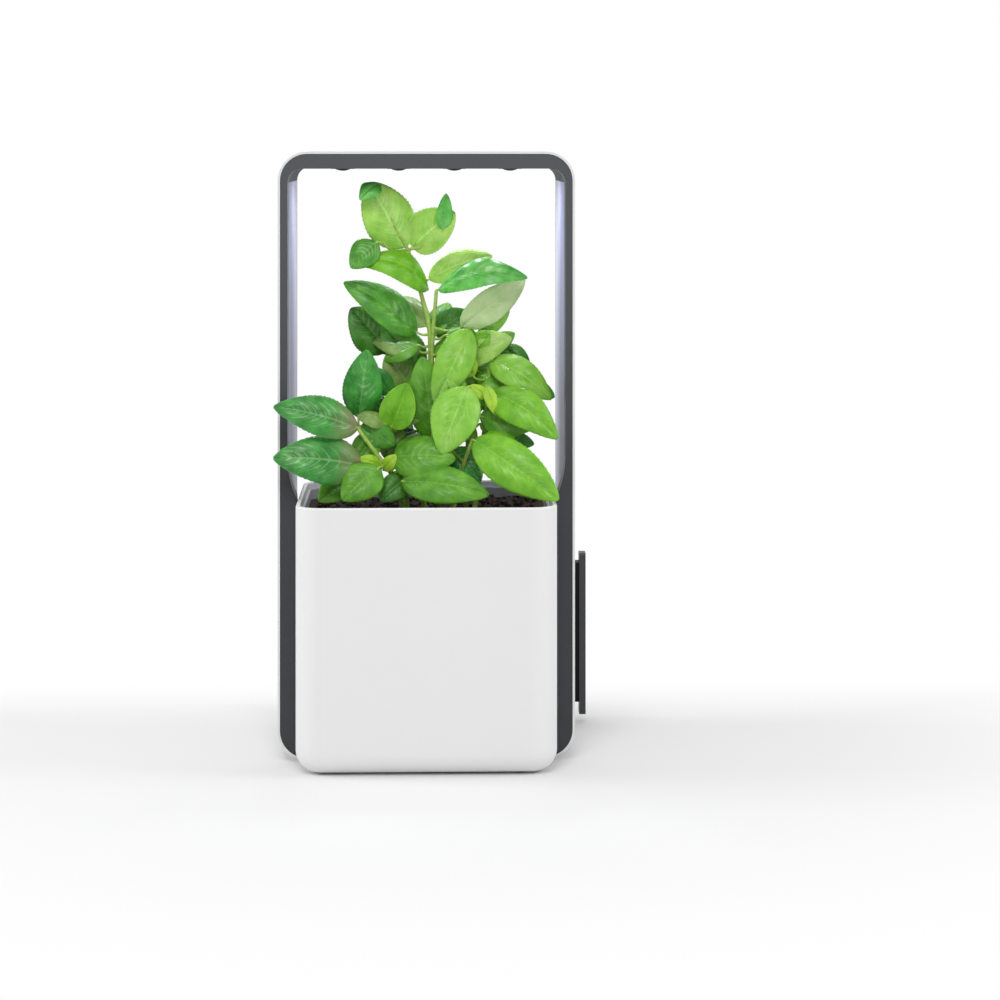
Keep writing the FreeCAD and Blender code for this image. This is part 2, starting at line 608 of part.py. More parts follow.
def electronics():
    back = "control_front + board_wall"
    board = block("control_board", ("control_left", "control_right"), ("control_front", back),
                  ("control_low", "control_high"))
    keep(board)
    posts = []
    for across in ("control_left + control_inset", "control_right - control_inset"):
        for height in ("control_low + control_post_low", "control_high - control_post_high"):
            posts.append(rod("control_post_%d" % len(posts), "y", (across, "bay_front + bay_wall", height),
                             "control_post", "control_front - bay_front - bay_wall"))
    keep(gather("control_posts", posts))
    body = block("switch_body", ("inlet_across - switch_side / 2", "inlet_across + switch_side / 2"),
                 (back, back + " + switch_depth"),
                 ("button_height - switch_side / 2", "button_height + switch_side / 2"))
    plunger = rod("switch_plunger", "y", ("inlet_across", back + " + switch_depth - screw_gap",
                                          "button_height"), "plunger_radius", "plunger_length")
    keep(join("power_switch", [body, plunger]))
    inlet_back = "(%s) - over" % COVER_BACK
    shell = block("inlet_shell", ("inlet_across - inlet_width / 2", "inlet_across + inlet_width / 2"),
                  (back, inlet_back), ("inlet_height - inlet_tall / 2", "inlet_height + inlet_tall / 2"))
    half_width = "(inlet_width / 2 - inlet_wall)"
    half_tall = "(inlet_tall / 2 - inlet_wall)"
    hollow = block("inlet_hollow", ("inlet_across - " + half_width, "inlet_across + " + half_width),
                   (back + " + inlet_floor", "frame_depth"),
                   ("inlet_height - " + half_tall, "inlet_height + " + half_tall))
    tongue = block("inlet_tongue", ("inlet_across - tongue_width / 2", "inlet_across + tongue_width / 2"),
                   (back + " + inlet_floor - screw_gap", "(%s) - tongue_back" % COVER_BACK),
                   ("inlet_height - tongue_wall / 2", "inlet_height + tongue_wall / 2"))
    keep(join("power_inlet", [cut("inlet_case", shell, [hollow]), tongue]))
    flange_front = "(%s) - button_flange_wall - button_gap" % REAR_BEZEL_FRONT
    stem_front = back + " + switch_depth + plunger_length + button_stand"
    cap = rod("button_cap", "y", ("inlet_across", "(%s) - sunk" % REAR_BEZEL_FRONT, "button_height"),
              "button_radius", "cover_wall + button_stand + sunk")
    flange = rod("button_flange_disc", "y", ("inlet_across", flange_front, "button_height"),
                 "button_flange", "button_flange_wall")
    stem = rod("button_stem_pin", "y", ("inlet_across", stem_front, "button_height"), "button_stem",
               "%s - (%s) + sunk" % (flange_front, stem_front))
    keep(join("power_button", [cap, flange, stem]))


VANES = 6
CHAMBER_LEFT = "pump_across - chamber_half"
CHAMBER_RIGHT = "pump_across + chamber_half"


def pump():
    case = rod("pump_case", "x", (CHAMBER_LEFT + " - pump_wall", PUMP_MIDDLE, "pump_height"),
               "pump_radius", "2 * chamber_half + 2 * pump_wall")
    socket = rod("pump_socket", "x", (CHAMBER_RIGHT, PUMP_MIDDLE, "pump_height"), "socket_radius",
                 "partition - pump_across - chamber_half - socket_gap")
    outlet = rod("pump_outlet", "z", ("pump_across", PUMP_MIDDLE, "pump_height"),
                 "spout_radius + outlet_wall", "outlet_tall")
    foot = block("pump_foot", (CHAMBER_LEFT + " - pump_wall", CHAMBER_RIGHT + " + pump_wall"),
                 (PUMP_MIDDLE + " - foot_half", PUMP_MIDDLE + " + foot_half"),
                 ("floor_top + bay_wall", "pump_height - foot_top"))
    tools = [
        rod("pump_chamber", "x", (CHAMBER_LEFT, PUMP_MIDDLE, "pump_height"), "pump_radius - pump_wall",
            "2 * chamber_half"),
        rod("pump_inlet", "x", (CHAMBER_RIGHT, PUMP_MIDDLE, "pump_height"), "socket_bore", "motor_length"),
        rod("pump_shaft_hole", "x", (CHAMBER_LEFT + " - pump_wall - over", PUMP_MIDDLE, "pump_height"),
            "shaft_radius + screw_gap", "pump_wall + 2 * over"),
        rod("pump_outlet_bore", "z", ("pump_across", PUMP_MIDDLE, "pump_height + outlet_low"),
            "spout_bore", "outlet_tall"),
        rod("pump_outlet_seat", "z", ("pump_across", PUMP_MIDDLE, "pump_height + outlet_seat"),
            "spout_radius", "outlet_tall"),
    ]
    keep(cut("pump_housing", join("pump_outside", [case, socket, outlet, foot]), tools))
    motor = rod("motor_can", "x", (CHAMBER_LEFT + " - pump_wall - motor_length", PUMP_MIDDLE, "pump_height"),
                "motor_radius", "motor_length")
    bearing_left = CHAMBER_LEFT + " - pump_wall - shaft_seat"
    bearing = rod("motor_bore", "x", (bearing_left + " - over", PUMP_MIDDLE, "pump_height"),
                  "shaft_radius + screw_gap", "shaft_seat + 2 * over")
    keep(cut("pump_motor", motor, [bearing]))
    shaft = rod("impeller_shaft", "x", (bearing_left, PUMP_MIDDLE, "pump_height"),
                "shaft_radius", "shaft_seat + pump_wall + shaft_reach")
    disc_left = CHAMBER_LEFT + " + impeller_gap"
    disc = rod("impeller_disc", "x", (disc_left, PUMP_MIDDLE, "pump_height"), "impeller_radius", "disc_wall")
    hub = rod("impeller_hub", "x", (disc_left, PUMP_MIDDLE, "pump_height"), "hub_radius", "hub_length")
    vanes = []
    for index in range(VANES):
        vane = doc.addObject("Part::Box", "vane_%d" % index)
        turn = FreeCAD.Rotation(Vector(1, 0, 0), index * 360 / VANES)
        vane.Placement = FreeCAD.Placement(Vector(), turn)
        put(vane, disc_left + " + impeller_gap", PUMP_MIDDLE, "pump_height")
        bind(vane, "Length", "vane_length")
        bind(vane, "Width", "vane_wall")
        bind(vane, "Height", "impeller_radius - vane_gap")
        vanes.append(vane)
    keep(join("pump_impeller", [shaft, disc, hub] + vanes))
    lead_x = ("pump_lead_left", "pump_lead_left + lead_wall")
    lead_front = PUMP_MIDDLE + " - pump_lead_half"
    lead_low = "control_low + pump_lead_height"
    lead_high = "control_low + pump_lead_height + pump_lead_tall"
    riser = block("pump_lead_riser", lead_x, (lead_front, PUMP_MIDDLE + " + pump_lead_half"),
                  ("pump_height + motor_radius - sunk", lead_high))
    top = block("pump_lead_top", ("pump_lead_left - ribbon_width", "pump_lead_left + lead_wall"),
                (lead_front, "control_front"), (lead_low, lead_high))
    lead = join("pump_lead_strip", [riser, top])
    motor_again = rod("motor_clear", "x", (CHAMBER_LEFT + " - pump_wall - motor_length", PUMP_MIDDLE,
                                           "pump_height"), "motor_radius", "motor_length")
    keep(cut("pump_lead", lead, [motor_again]))


def feed_spout():
    """The rigid tube from the pump up out of the bay and over the planter's back rim."""
    across = number("pump_across")
    back = number(PUMP_MIDDLE)
    low = number("pump_height + outlet_seat")
    top = number("spout_top")
    bend = number("spout_bend")
    front = number("spout_reach")
    slant = bend * (1 - math.cos(math.pi / 4))
    start = Vector(across, back, low)
    rise = Vector(across, back, top - bend)
    over = Vector(across, back - bend, top)
    reach = Vector(across, front + bend, top)
    mouth = Vector(across, front, top - bend)
    first = Part.Arc(rise, Vector(across, back - slant, top - slant), over)
    last = Part.Arc(reach, Vector(across, front + slant, top - slant), mouth)
    path = Part.Wire([Part.LineSegment(start, rise).toShape(), first.toShape(),
                      Part.LineSegment(over, reach).toShape(), last.toShape()])

    def tube(radius):
        ring = Part.Wire(Part.makeCircle(radius, start, Vector(0, 0, 1)))
        return path.makePipeShell([ring], True, False)

    item = doc.addObject("Part::Feature", "feed_spout")
    item.Shape = tube(number("spout_radius")).cut(tube(number("spout_bore")))
    keep(item)


# The water tank, which slides out of the right-hand side

# How far behind the tank's front each rail under it starts
TANK_RAIL_PLACES = (5, 21)


def water_tank():
    right = "shell_width / 2"
    outside = block("tank_outside", ("tank_end", right), ("tank_front", "tank_front + tank_depth"),
                    ("tank_low", "tank_low + tank_tall"))
    inside = block("tank_inside", ("tank_end + tank_wall", right + " - tank_end_wall"),
                   ("tank_front + tank_wall", "tank_front + tank_depth - tank_wall"),
                   ("tank_low + tank_wall", "tank_low + tank_tall + over"))
    port = rod("tank_port", "x", ("tank_end - over", PUMP_MIDDLE, "pump_height"), "outlet_bore",
               "tank_wall + 2 * over")
    keep(cut("water_tank", outside, [inside, port]))
    tube = rod("outlet_tube", "x", ("tank_end - outlet_length", PUMP_MIDDLE, "pump_height"),
               "outlet_radius", "outlet_length")
    bore = rod("outlet_bore_tool", "x", ("tank_end - outlet_length - over", PUMP_MIDDLE, "pump_height"),
               "outlet_bore", "outlet_length + 2 * over")
    keep(cut("tank_outlet", tube, [bore]))
    neck_front = "tank_front + (tank_depth - neck_depth) / 2"
    keep(block("grip_neck", (right, right + " + neck_length"), (neck_front, neck_front + " + neck_depth"),
               ("tank_low", "tank_low + tank_tall")))
    plate = doc.addObject("PartDesign::Body", "grip_plate")
    sketch = new_sketch(plate, "YZ_Plane", "grip_outline")
    plate_front = "tank_front + (tank_depth - plate_depth) / 2"
    rounded_rectangle(sketch, plate_front, plate_front + " + plate_depth", "plate_low",
                      "plate_low + plate_tall", "plate_corner")
    pad(plate, sketch, "grip_pad", "plate_wall")
    put(plate, right + " + neck_length", "0", "0")
    keep(plate)
    rails = []
    for index, place in enumerate(TANK_RAIL_PLACES):
        front = "tank_front + %d" % place
        rails.append(block("tank_rail_%d" % index, ("partition + bay_wall", "bay_half - bay_wall"),
                           (front, front + " + tank_rail_width"), ("floor_top + bay_wall", "tank_low")))
    keep(gather("tank_rails", rails))


# The planter, which slides out to the front

CAVITY_FLOOR = "underside + planter_wall"
TINY = 0.01


def inset_plan(inset):
    """The planter's outline seen from above, drawn in by an expression."""
    return ("-planter_width / 2 + (%s)" % inset, "planter_width / 2 - (%s)" % inset,
            "planter_front + (%s)" % inset, "planter_back - (%s)" % inset, "planter_corner - (%s)" % inset)


def planter_shell():
    body = plan_body("planter_block", inset_plan("0"), "planter_low", "planter_top")
    doc.recompute()
    edges = []
    for index, edge in enumerate(body.Tip.Shape.Edges, start=1):
        box = edge.BoundBox
        if abs(box.Center.z) < TINY and box.ZLength < TINY:
            edges.append("Edge%d" % index)
    rounded = body.newObject("PartDesign::Fillet", "planter_bottom_round")
    rounded.Base = (body.getObject("planter_block_pad"), edges)
    bind(rounded, "Radius", "planter_round")
    body.Tip = rounded
    step = block("planter_step", ("-planter_width", "planter_width"), ("step_front", "planter_back + over"),
                 ("-over", "underside"))
    cavity = plan_body("planter_cavity", inset_plan("planter_wall"), CAVITY_FLOOR, "planter_top + over")
    hollow = cut("planter_hollow", body, [step, cavity])
    doc.recompute()
    rim = []
    top = number("planter_top")
    for index, edge in enumerate(hollow.Shape.Edges, start=1):
        box = edge.BoundBox
        if abs(box.Center.z - top) < TINY and box.ZLength < TINY:
            rim.append((index, number("rim_round"), number("rim_round")))
    rounding = doc.addObject("Part::Fillet", "planter_shell")
    rounding.Base = hollow
    rounding.Edges = rim
    keep(rounding)
    pads = []
    for side in (-1, 1):
        middle = "%d * pad_across" % side
        pads.append(block("pad_%s" % ("left" if side < 0 else "right"),
                          (middle + " - pad_width / 2", middle + " + pad_width / 2"),
                          ("pad_front", "pad_front + pad_depth"), ("0", "planter_low")))
    keep(gather("planter_feet", pads))


TUB_INSET = "planter_wall + liner_gap"
TUB_FLOOR = "underside + planter_wall + tub_wall"
DECK_INSET = "planter_wall + liner_gap + tub_wall + liner_gap"


def reservoir():
    tub = plan_body("tub_outside", inset_plan(TUB_INSET), CAVITY_FLOOR, "tub_top")
    inner = plan_body("tub_inside", inset_plan(TUB_INSET + " + tub_wall"), TUB_FLOOR, "tub_top + over")
    posts = []
    for index, (side, end) in enumerate(((-1, -1), (-1, 1), (1, -1), (1, 1))):
        across = "%d * (planter_width / 2 - planter_wall - tub_wall - post_inset)" % side
        edge = "planter_front + planter_wall + tub_wall + post_inset"
        along = edge if end < 0 else "planter_back - planter_wall - tub_wall - post_inset"
        posts.append(rod("tub_post_%d" % index, "z", (across, along, TUB_FLOOR + " - sunk"), "tub_post",
                         "deck_low - (%s) + sunk" % TUB_FLOOR))
    keep(join("reservoir_liner", [cut("tub", tub, [inner])] + posts))


def pot_places():
    return [("%d * pot_pitch" % column, "pot_middle + %s * pot_row_gap" % row)
            for row in (-0.5, 0.5) for column in (-1, 0, 1)]


DECK_TOP = "deck_low + deck_wall"
POT_FOOT = "deck_low + deck_wall - pot_tall"


def grow_deck():
    plate = plan_body("deck_plate", inset_plan(DECK_INSET), "deck_low", DECK_TOP)
    holes = []
    pots = []
    plugs = []
    wicks = []
    for index, (across, along) in enumerate(pot_places()):
        holes.append(rod("deck_hole_%d" % index, "z", (across, along, "deck_low - over"),
                         "pot_radius + pot_gap", "deck_wall + 2 * over"))
        outside = taper("pot_outside_%d" % index, (across, along, POT_FOOT), "pot_foot", "pot_radius",
                        "pot_tall")
        flange = rod("pot_flange_%d" % index, "z", (across, along, DECK_TOP), "pot_flange", "pot_flange_wall")
        hollow = taper("pot_inside_%d" % index, (across, along, POT_FOOT + " + pot_wall"),
                       "pot_foot - pot_wall", "pot_radius - pot_wall", "pot_tall + pot_flange_wall")
        hole = rod("pot_hole_%d" % index, "z", (across, along, POT_FOOT + " - over"),
                   "wick_radius + fit_gap", "pot_wall + 2 * over")
        pots.append(cut("net_pot_%d" % index, join("pot_wall_%d" % index, [outside, flange]),
                        [hollow, hole]))
        plug = taper("plug_outside_%d" % index, (across, along, POT_FOOT + " + pot_wall"),
                     "pot_foot - pot_wall - pot_gap", "pot_radius - pot_wall - pot_gap", "pot_tall")
        socket = rod("plug_socket_%d" % index, "z", (across, along, POT_FOOT), "wick_radius", "wick_reach")
        plugs.append(cut("root_plug_%d" % index, plug, [socket]))
        wicks.append(rod("wick_%d" % index, "z", (across, along, TUB_FLOOR + " + wick_lift"), "wick_radius",
                         "%s + wick_reach - (%s) - wick_lift" % (POT_FOOT, TUB_FLOOR)))
    keep(cut("grow_deck", plate, holes))
    keep(gather("net_pots", pots))
    keep(gather("root_plugs", plugs))
    keep(gather("wicks", wicks))
    keep(plan_body("growing_medium", inset_plan(DECK_INSET), "deck_low + deck_wall + pot_flange_wall",
                   "medium_top"))


def water_float():
    keep(rod("float_guide", "z", ("float_across", "pot_middle", TUB_FLOOR), "guide_radius",
             "deck_low - (%s)" % TUB_FLOOR))
    disc = rod("float_disc", "z", ("float_across", "pot_middle", TUB_FLOOR + " + float_lift"), "float_radius",
               "float_tall")
    bore = rod("float_hole", "z", ("float_across", "pot_middle", TUB_FLOOR), "float_bore",
               "float_tall + over")
    keep(cut("water_float", disc, [bore]))


# The basil: stems, and leaves on stalks. Places are chosen by hand.

STEMS = {
    "main": ((9, -42, 173), (6, -44, 229), (4, -42, 282), (7, -41, 328)),
    "second": ((-2, -38, 173), (1, -38, 250), (2, -40, 301), (-4, -40, 326), (-13, -39, 357)),
    "left": ((-16, -60, 173), (-22, -66, 196), (-34, -73, 214), (-47, -76, 232)),
    "left_back": ((-14, -44, 173), (-18, -42, 230), (-21, -38, 266), (-27, -32, 285)),
    "right": ((34, -52, 173), (40, -50, 220), (44, -47, 256), (45, -43, 279)),
    "right_back": ((28, -34, 173), (30, -36, 240), (29, -37, 280)),
    "front_right": ((18, -64, 173), (25, -73, 205), (32, -82, 226)),
    "front": ((0, -62, 173), (-5, -72, 189), (-14, -86, 200)),
}

# Each leaf: stalk end, tip, width, lean of its face up from the front, bow, edge droop, tip curl
LEAVES = {
    "crown_left": ((-15, -40, 359), (-42, -46, 405), 37, 14, 0.10, 0.14, 0.10),
    "crown_fold": ((-33, -50, 404), (-47, -58, 393), 15, 40, 0.20, 0.30, 0.00),
    "crown_right": ((-10, -38, 359), (20, -45, 384), 31, 12, 0.08, -0.28, 0.00),
    "crown_spike": ((12, -47, 371), (14, -48, 397), 11, 20, 0.10, 0.20, 0.00),
    "upper_left_arch": ((1, -40, 329), (-49, -56, 351), 26, 36, 0.30, 0.26, -0.10),
    "upper_left_fold": ((-35, -56, 363), (-53, -62, 345), 21, 18, 0.16, 0.24, 0.00),
    "upper_right_arch": ((9, -42, 329), (71, -62, 338), 26, 42, 0.22, 0.24, 0.00),
    "upper_back": ((2, -36, 336), (47, -26, 352), 22, 28, 0.16, 0.18, 0.00),
    "upper_right_pale": ((25, -38, 302), (70, -44, 336), 24, -16, 0.08, 0.12, 0.00),
    "upper_right_small": ((38, -30, 296), (60, -34, 315), 15, 20, 0.10, 0.20, 0.10),
    "middle_left_dark": ((-7, -38, 298), (-57, -50, 335), 28, 28, 0.14, 0.22, -0.06),
    "left_screen": ((-3, -33, 269), (-32, -35, 303), 28, 22, 0.12, 0.20, 0.00),
    "left_shoulder": ((-28, -30, 284), (-54, -34, 315), 32, 22, 0.10, 0.18, 0.00),
    "left_glossy": ((-48, -52, 239), (-42, -58, 287), 28, 10, 0.12, 0.24, 0.00),
    "left_striped": ((-26, -44, 254), (-38, -48, 274), 15, 18, 0.08, 0.18, 0.00),
    "olive": ((-11, -36, 258), (-29, -42, 282), 27, 22, 0.08, 0.12, 0.00),
    "pale_small": ((-18, -34, 280), (-30, -38, 292), 11, 25, 0.10, 0.15, 0.00),
    "curled": ((-25, -58, 232), (-13, -62, 264), 25, 18, 0.14, -0.30, 0.08),
    "far_left_upper": ((-48, -77, 234), (-105, -94, 251), 29, 22, 0.14, 0.20, -0.04),
    "far_left_lower": ((-44, -80, 208), (-105, -98, 216), 35, 20, 0.14, 0.20, -0.04),
    "low_left_dark": ((-52, -68, 196), (-75, -86, 184), 21, 30, 0.14, 0.18, 0.00),
    "low_left_veined": ((-33, -84, 207), (-58, -98, 186), 28, 22, 0.14, 0.18, 0.00),
    "bud_left": ((-31, -72, 206), (-47, -80, 213), 11, 30, 0.14, 0.15, 0.00),
    "bud_right": ((-30, -72, 204), (-21, -78, 215), 10, 30, 0.10, 0.15, 0.00),
    "pale_curl": ((-29, -60, 235), (-49, -66, 241), 13, 35, 0.15, 0.25, 0.00),
    "left_knot": ((-46, -64, 234), (-22, -60, 220), 20, 24, 0.12, 0.20, 0.00),
    "left_under": ((-36, -60, 228), (-51, -70, 208), 20, 22, 0.10, 0.18, 0.00),
    "front_bright": ((29, -72, 262), (10, -88, 217), 34, 8, 0.14, 0.22, 0.00),
    "front_behind": ((28, -62, 258), (14, -66, 268), 13, 25, 0.10, 0.20, 0.00),
    "centre_upright": ((4, -50, 224), (-3, -58, 282), 30, 8, 0.10, 0.15, 0.00),
    "centre_sweep": ((30, -50, 301), (6, -64, 250), 27, 16, 0.12, 0.20, 0.00),
    "centre_band": ((4, -38, 285), (36, -42, 284), 22, 30, 0.12, 0.20, 0.00),
    "centre_shade": ((-2, -40, 264), (-24, -48, 233), 25, 20, 0.10, 0.20, 0.00),
    "centre_low": ((-24, -72, 212), (20, -88, 213), 34, 34, 0.18, 0.26, 0.00),
    "front_low": ((-17, -88, 198), (43, -102, 190), 29, 28, 0.16, 0.20, 0.00),
    "low_centre_dark": ((-13, -76, 200), (-32, -86, 184), 20, 30, 0.10, 0.20, 0.00),
    "right_shoulder": ((18, -36, 279), (61, -42, 294), 26, 24, 0.16, 0.22, 0.00),
    "right_crown_near": ((29, -40, 281), (45, -44, 297), 16, 22, 0.10, 0.20, 0.00),
    "right_crown_far": ((45, -32, 285), (63, -34, 297), 14, 28, 0.10, 0.20, 0.00),
    "right_crown_dark": ((54, -28, 287), (74, -34, 270), 17, 26, 0.12, 0.20, 0.00),
    "yellow": ((33, -56, 268), (22, -58, 289), 15, 14, 0.10, 0.15, 0.00),
    "right_upper": ((45, -44, 279), (88, -62, 253), 25, 26, 0.16, 0.20, -0.04),
    "right_middle": ((45, -58, 257), (91, -82, 229), 29, 24, 0.20, 0.22, -0.10),
    "right_edge_dark": ((72, -40, 260), (91, -46, 252), 14, 35, 0.10, 0.15, 0.00),
    "right_inner": ((38, -60, 240), (78, -68, 235), 26, 22, 0.12, 0.22, 0.00),
    "star_low": ((42, -66, 262), (48, -72, 243), 9, 16, 0.10, 0.10, 0.00),
    "star_high": ((42, -66, 254), (31, -70, 263), 9, 20, 0.10, 0.10, 0.00),
    "dark_buds": ((53, -52, 223), (76, -58, 220), 14, 30, 0.10, 0.10, 0.00),
    "large_low_right": ((33, -84, 226), (91, -105, 187), 33, 18, 0.12, 0.18, 0.00),
    "low_dark": ((18, -66, 218), (38, -74, 196), 22, 26, 0.10, 0.20, 0.00),
    "behind_stem": ((5, -32, 297), (31, -34, 312), 23, 24, 0.10, 0.20, 0.00),
}

# Smaller leaves that fill out the plant: each starts on a stem, turned on from the one below.
# Those that point forward hang, those that point back rise, and all face up to the front.
FILL_COUNT = 34
FILL_TURN = 137.5
FILL_LOW = 200
FILL_RISE = 3
FILL_LEAN = 45
FILL_SWAY = (-18, 0, 18)
FILL_STALK = 9
FILL_LENGTH = 38
FILL_SHORTER = 3
FILL_LENGTHS = 4
FILL_STRIDE = 5
FILL_WIDTH = 0.62
FILL_SLOPE = 0.7
FILL_BOW = 0.14
FILL_DROOP = 0.2
# How far left, right and forward they may reach below each height, and how far back and down
FILL_ROOM = ((238, -52, 62, -66), (288, -44, 60, -50), (400, -30, 38, -38))
FILL_BACK = -8
FILL_FLOOR = 184

# Places along a leaf, from stalk to tip, where its section is drawn
LEAF_STATIONS = (0.0, 0.08, 0.22, 0.42, 0.64, 0.86, 1.0)
LEAF_NARROW = 0.06
BELLY = 0.8
BLUNT = 0.62
CURL_START = 0.6
STEM_TAPER = 0.4
STALK_STEPS = 12
STALK_DIP = 1


def circle_wire(centre, direction, radius):
    return Part.Wire(Part.makeCircle(radius, centre, direction))


def stem_solid(points):
    """A stem that thins towards its top, upright where it leaves the growing medium."""
    places = [Vector(*point) for point in points]
    radius = number("stem_radius")
    rings = []
    for index, place in enumerate(places):
        before = places[max(index - 1, 0)]
        after = places[min(index + 1, len(places) - 1)]
        direction = Vector(0, 0, 1) if index == 0 else after - before
        share = index / (len(places) - 1)
        rings.append(circle_wire(place, direction, radius * (1 - STEM_TAPER * share)))
    return Part.makeLoft(rings, True, False)


def facing(turn, lean):
    """The way a leaf faces: turned from the front, then leaned up, both in degrees."""
    around = math.radians(turn)
    up = math.radians(lean)
    return Vector(math.sin(around) * math.cos(up), -math.cos(around) * math.cos(up), math.sin(up))


def blade_share(place):
    """The share of a leaf's full width at a place from stalk (0) to tip (1)."""
    swell = max(math.sin(math.pi * place ** BELLY), 0.0) ** BLUNT
    return max(swell, LEAF_NARROW)


def leaf_solid(base, tip, width, face, bow, droop, curl):
    """A thin blade, bowed along its length, with edges that droop from its midrib."""
    start = Vector(*base)
    reach = Vector(*tip) - start
    length = reach.Length
    along = reach / length
    face = face - along * face.dot(along)
    face.normalize()
    across = along.cross(face)
    wall = number("leaf_wall")
    sections = []
    for place in LEAF_STATIONS:
        late = max(place - CURL_START, 0.0) / (1 - CURL_START)
        height = bow * 4 * place * (1 - place) + curl * late ** 2
        slope = bow * 4 * (1 - 2 * place) + 2 * curl * late / (1 - CURL_START)
        middle = start + (along * place + face * height) * length
        up = face - along * slope
        up.normalize()
        half = width / 2 * blade_share(place)
        edge = up * (droop * half)
        left = middle - across * half - edge
        right = middle + across * half - edge
        upper = Part.Arc(left, middle + up * (wall / 2), right)
        lower = Part.Arc(right, middle - up * (wall / 2), left)
        sections.append(Part.Wire([upper.toShape(), lower.toShape()]))
    return Part.makeLoft(sections, True, False)


def stalk(start, end):
    return Part.makeCylinder(number("stalk_radius"), (end - start).Length, start, end - start)


def stem_places():
    """Places spread along every stem."""
    places = []
    for points in STEMS.values():
        for low, high in zip(points, points[1:]):
            for step in range(STALK_STEPS + 1):
                share = step / STALK_STEPS
                places.append(Vector(*low) * (1 - share) + Vector(*high) * share)
    return places


def stalk_start(end):
    """The nearest place on any stem that isn't above the leaf's own end."""
    below = [place for place in stem_places() if place.z <= end.z + STALK_DIP]
    return min(below, key=lambda place: place.distanceToPoint(end))


def clamp(value, low, high):
    return max(low, min(high, value))


def fill_leaves():
    """The smaller leaves, as base, tip, width and the way each faces."""
    leaves = []
    for index in range(FILL_COUNT):
        around = math.radians(index * FILL_TURN)
        height = FILL_LOW + FILL_RISE * index
        left, right, front = [room[1:] for room in FILL_ROOM if room[0] > height][0]
        near = [place for place in stem_places() if abs(place.z - height) < FILL_RISE]
        root = near[index * FILL_STRIDE % len(near)]
        slope = -math.cos(around) * FILL_SLOPE
        out = Vector(math.sin(around), slope, slope)
        out.normalize()
        length = FILL_LENGTH - FILL_SHORTER * (index % FILL_LENGTHS)
        base = root + out * FILL_STALK
        tip = base + out * length
        tip = Vector(clamp(tip.x, left, right), clamp(tip.y, min(front, base.y), FILL_BACK),
                     max(tip.z, FILL_FLOOR))
        sway = FILL_SWAY[index % len(FILL_SWAY)]
        leaves.append((base, tip, length * FILL_WIDTH, facing(sway, FILL_LEAN)))
    return leaves


def basil_plants():
    solids = [stem_solid(points) for points in STEMS.values()]
    for base, tip, width, lean, bow, droop, curl in LEAVES.values():
        solids.append(leaf_solid(base, tip, width, facing(0, lean), bow, droop, curl))
        end = Vector(*base)
        start = stalk_start(end)
        if start.distanceToPoint(end) > number("stem_radius"):
            solids.append(stalk(start, end))
    for base, tip, width, face in fill_leaves():
        solids.append(leaf_solid(base, tip, width, face, FILL_BOW, FILL_DROOP, 0.0))
        solids.append(stalk(stalk_start(base), base))
    item = doc.addObject("Part::Feature", "basil_plants")
    item.Shape = Part.makeCompound(solids)
    keep(item)


outer_shell()
bezels()
liners()
frame_floor()
lamp_housing()
lamp_parts()
lamp_lead()
rear_housing()
rear_cover()
electronics()
pump()
feed_spout()
water_tank()
planter_shell()
reservoir()
grow_deck()
water_float()
basil_plants()
doc.recompute()

# Every object is sound before anything is written

for item in doc.Objects:
    if "Invalid" in item.State or "Error" in item.State:
        raise RuntimeError("%s failed: %s" % (item.Label, item.State))
for item in nodes:
    if item.Shape.isNull() or not item.Shape.isValid() or not item.Shape.Solids:
        raise RuntimeError("%s has no sound shape" % item.Label)
for item in nodes:
    item.Shape.exportStep("parts/%s.step" % item.Label)
    solids = len(item.Shape.Solids)
    print("%s: %d solids, %.0f mm3" % (item.Label, solids, item.Shape.Volume))
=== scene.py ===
"""Looks of the countertop hydroponic garden: materials, basil, growing medium, camera and light.

Metres, in the model's own frame: X to the right, the front faces -Y, Z up.
"""
import math
import random

import bpy
from mathutils import Matrix, Vector


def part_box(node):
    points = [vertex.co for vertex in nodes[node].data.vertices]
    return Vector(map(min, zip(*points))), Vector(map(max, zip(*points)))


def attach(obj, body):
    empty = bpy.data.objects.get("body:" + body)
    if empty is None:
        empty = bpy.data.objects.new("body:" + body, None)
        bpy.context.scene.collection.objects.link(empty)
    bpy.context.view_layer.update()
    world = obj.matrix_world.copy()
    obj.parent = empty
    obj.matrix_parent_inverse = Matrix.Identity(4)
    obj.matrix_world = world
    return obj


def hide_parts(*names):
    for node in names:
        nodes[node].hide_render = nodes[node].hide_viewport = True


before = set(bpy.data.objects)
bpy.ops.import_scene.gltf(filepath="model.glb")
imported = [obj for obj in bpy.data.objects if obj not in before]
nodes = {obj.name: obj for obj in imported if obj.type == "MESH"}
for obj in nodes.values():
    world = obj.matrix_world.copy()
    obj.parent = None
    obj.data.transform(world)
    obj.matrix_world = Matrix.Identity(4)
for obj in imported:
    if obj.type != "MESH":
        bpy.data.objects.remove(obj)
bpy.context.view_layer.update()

MM = 0.001
# The part of its range in which a noise mostly lies
NOISE_LOW = 0.3
NOISE_HIGH = 0.7


# Node material helpers

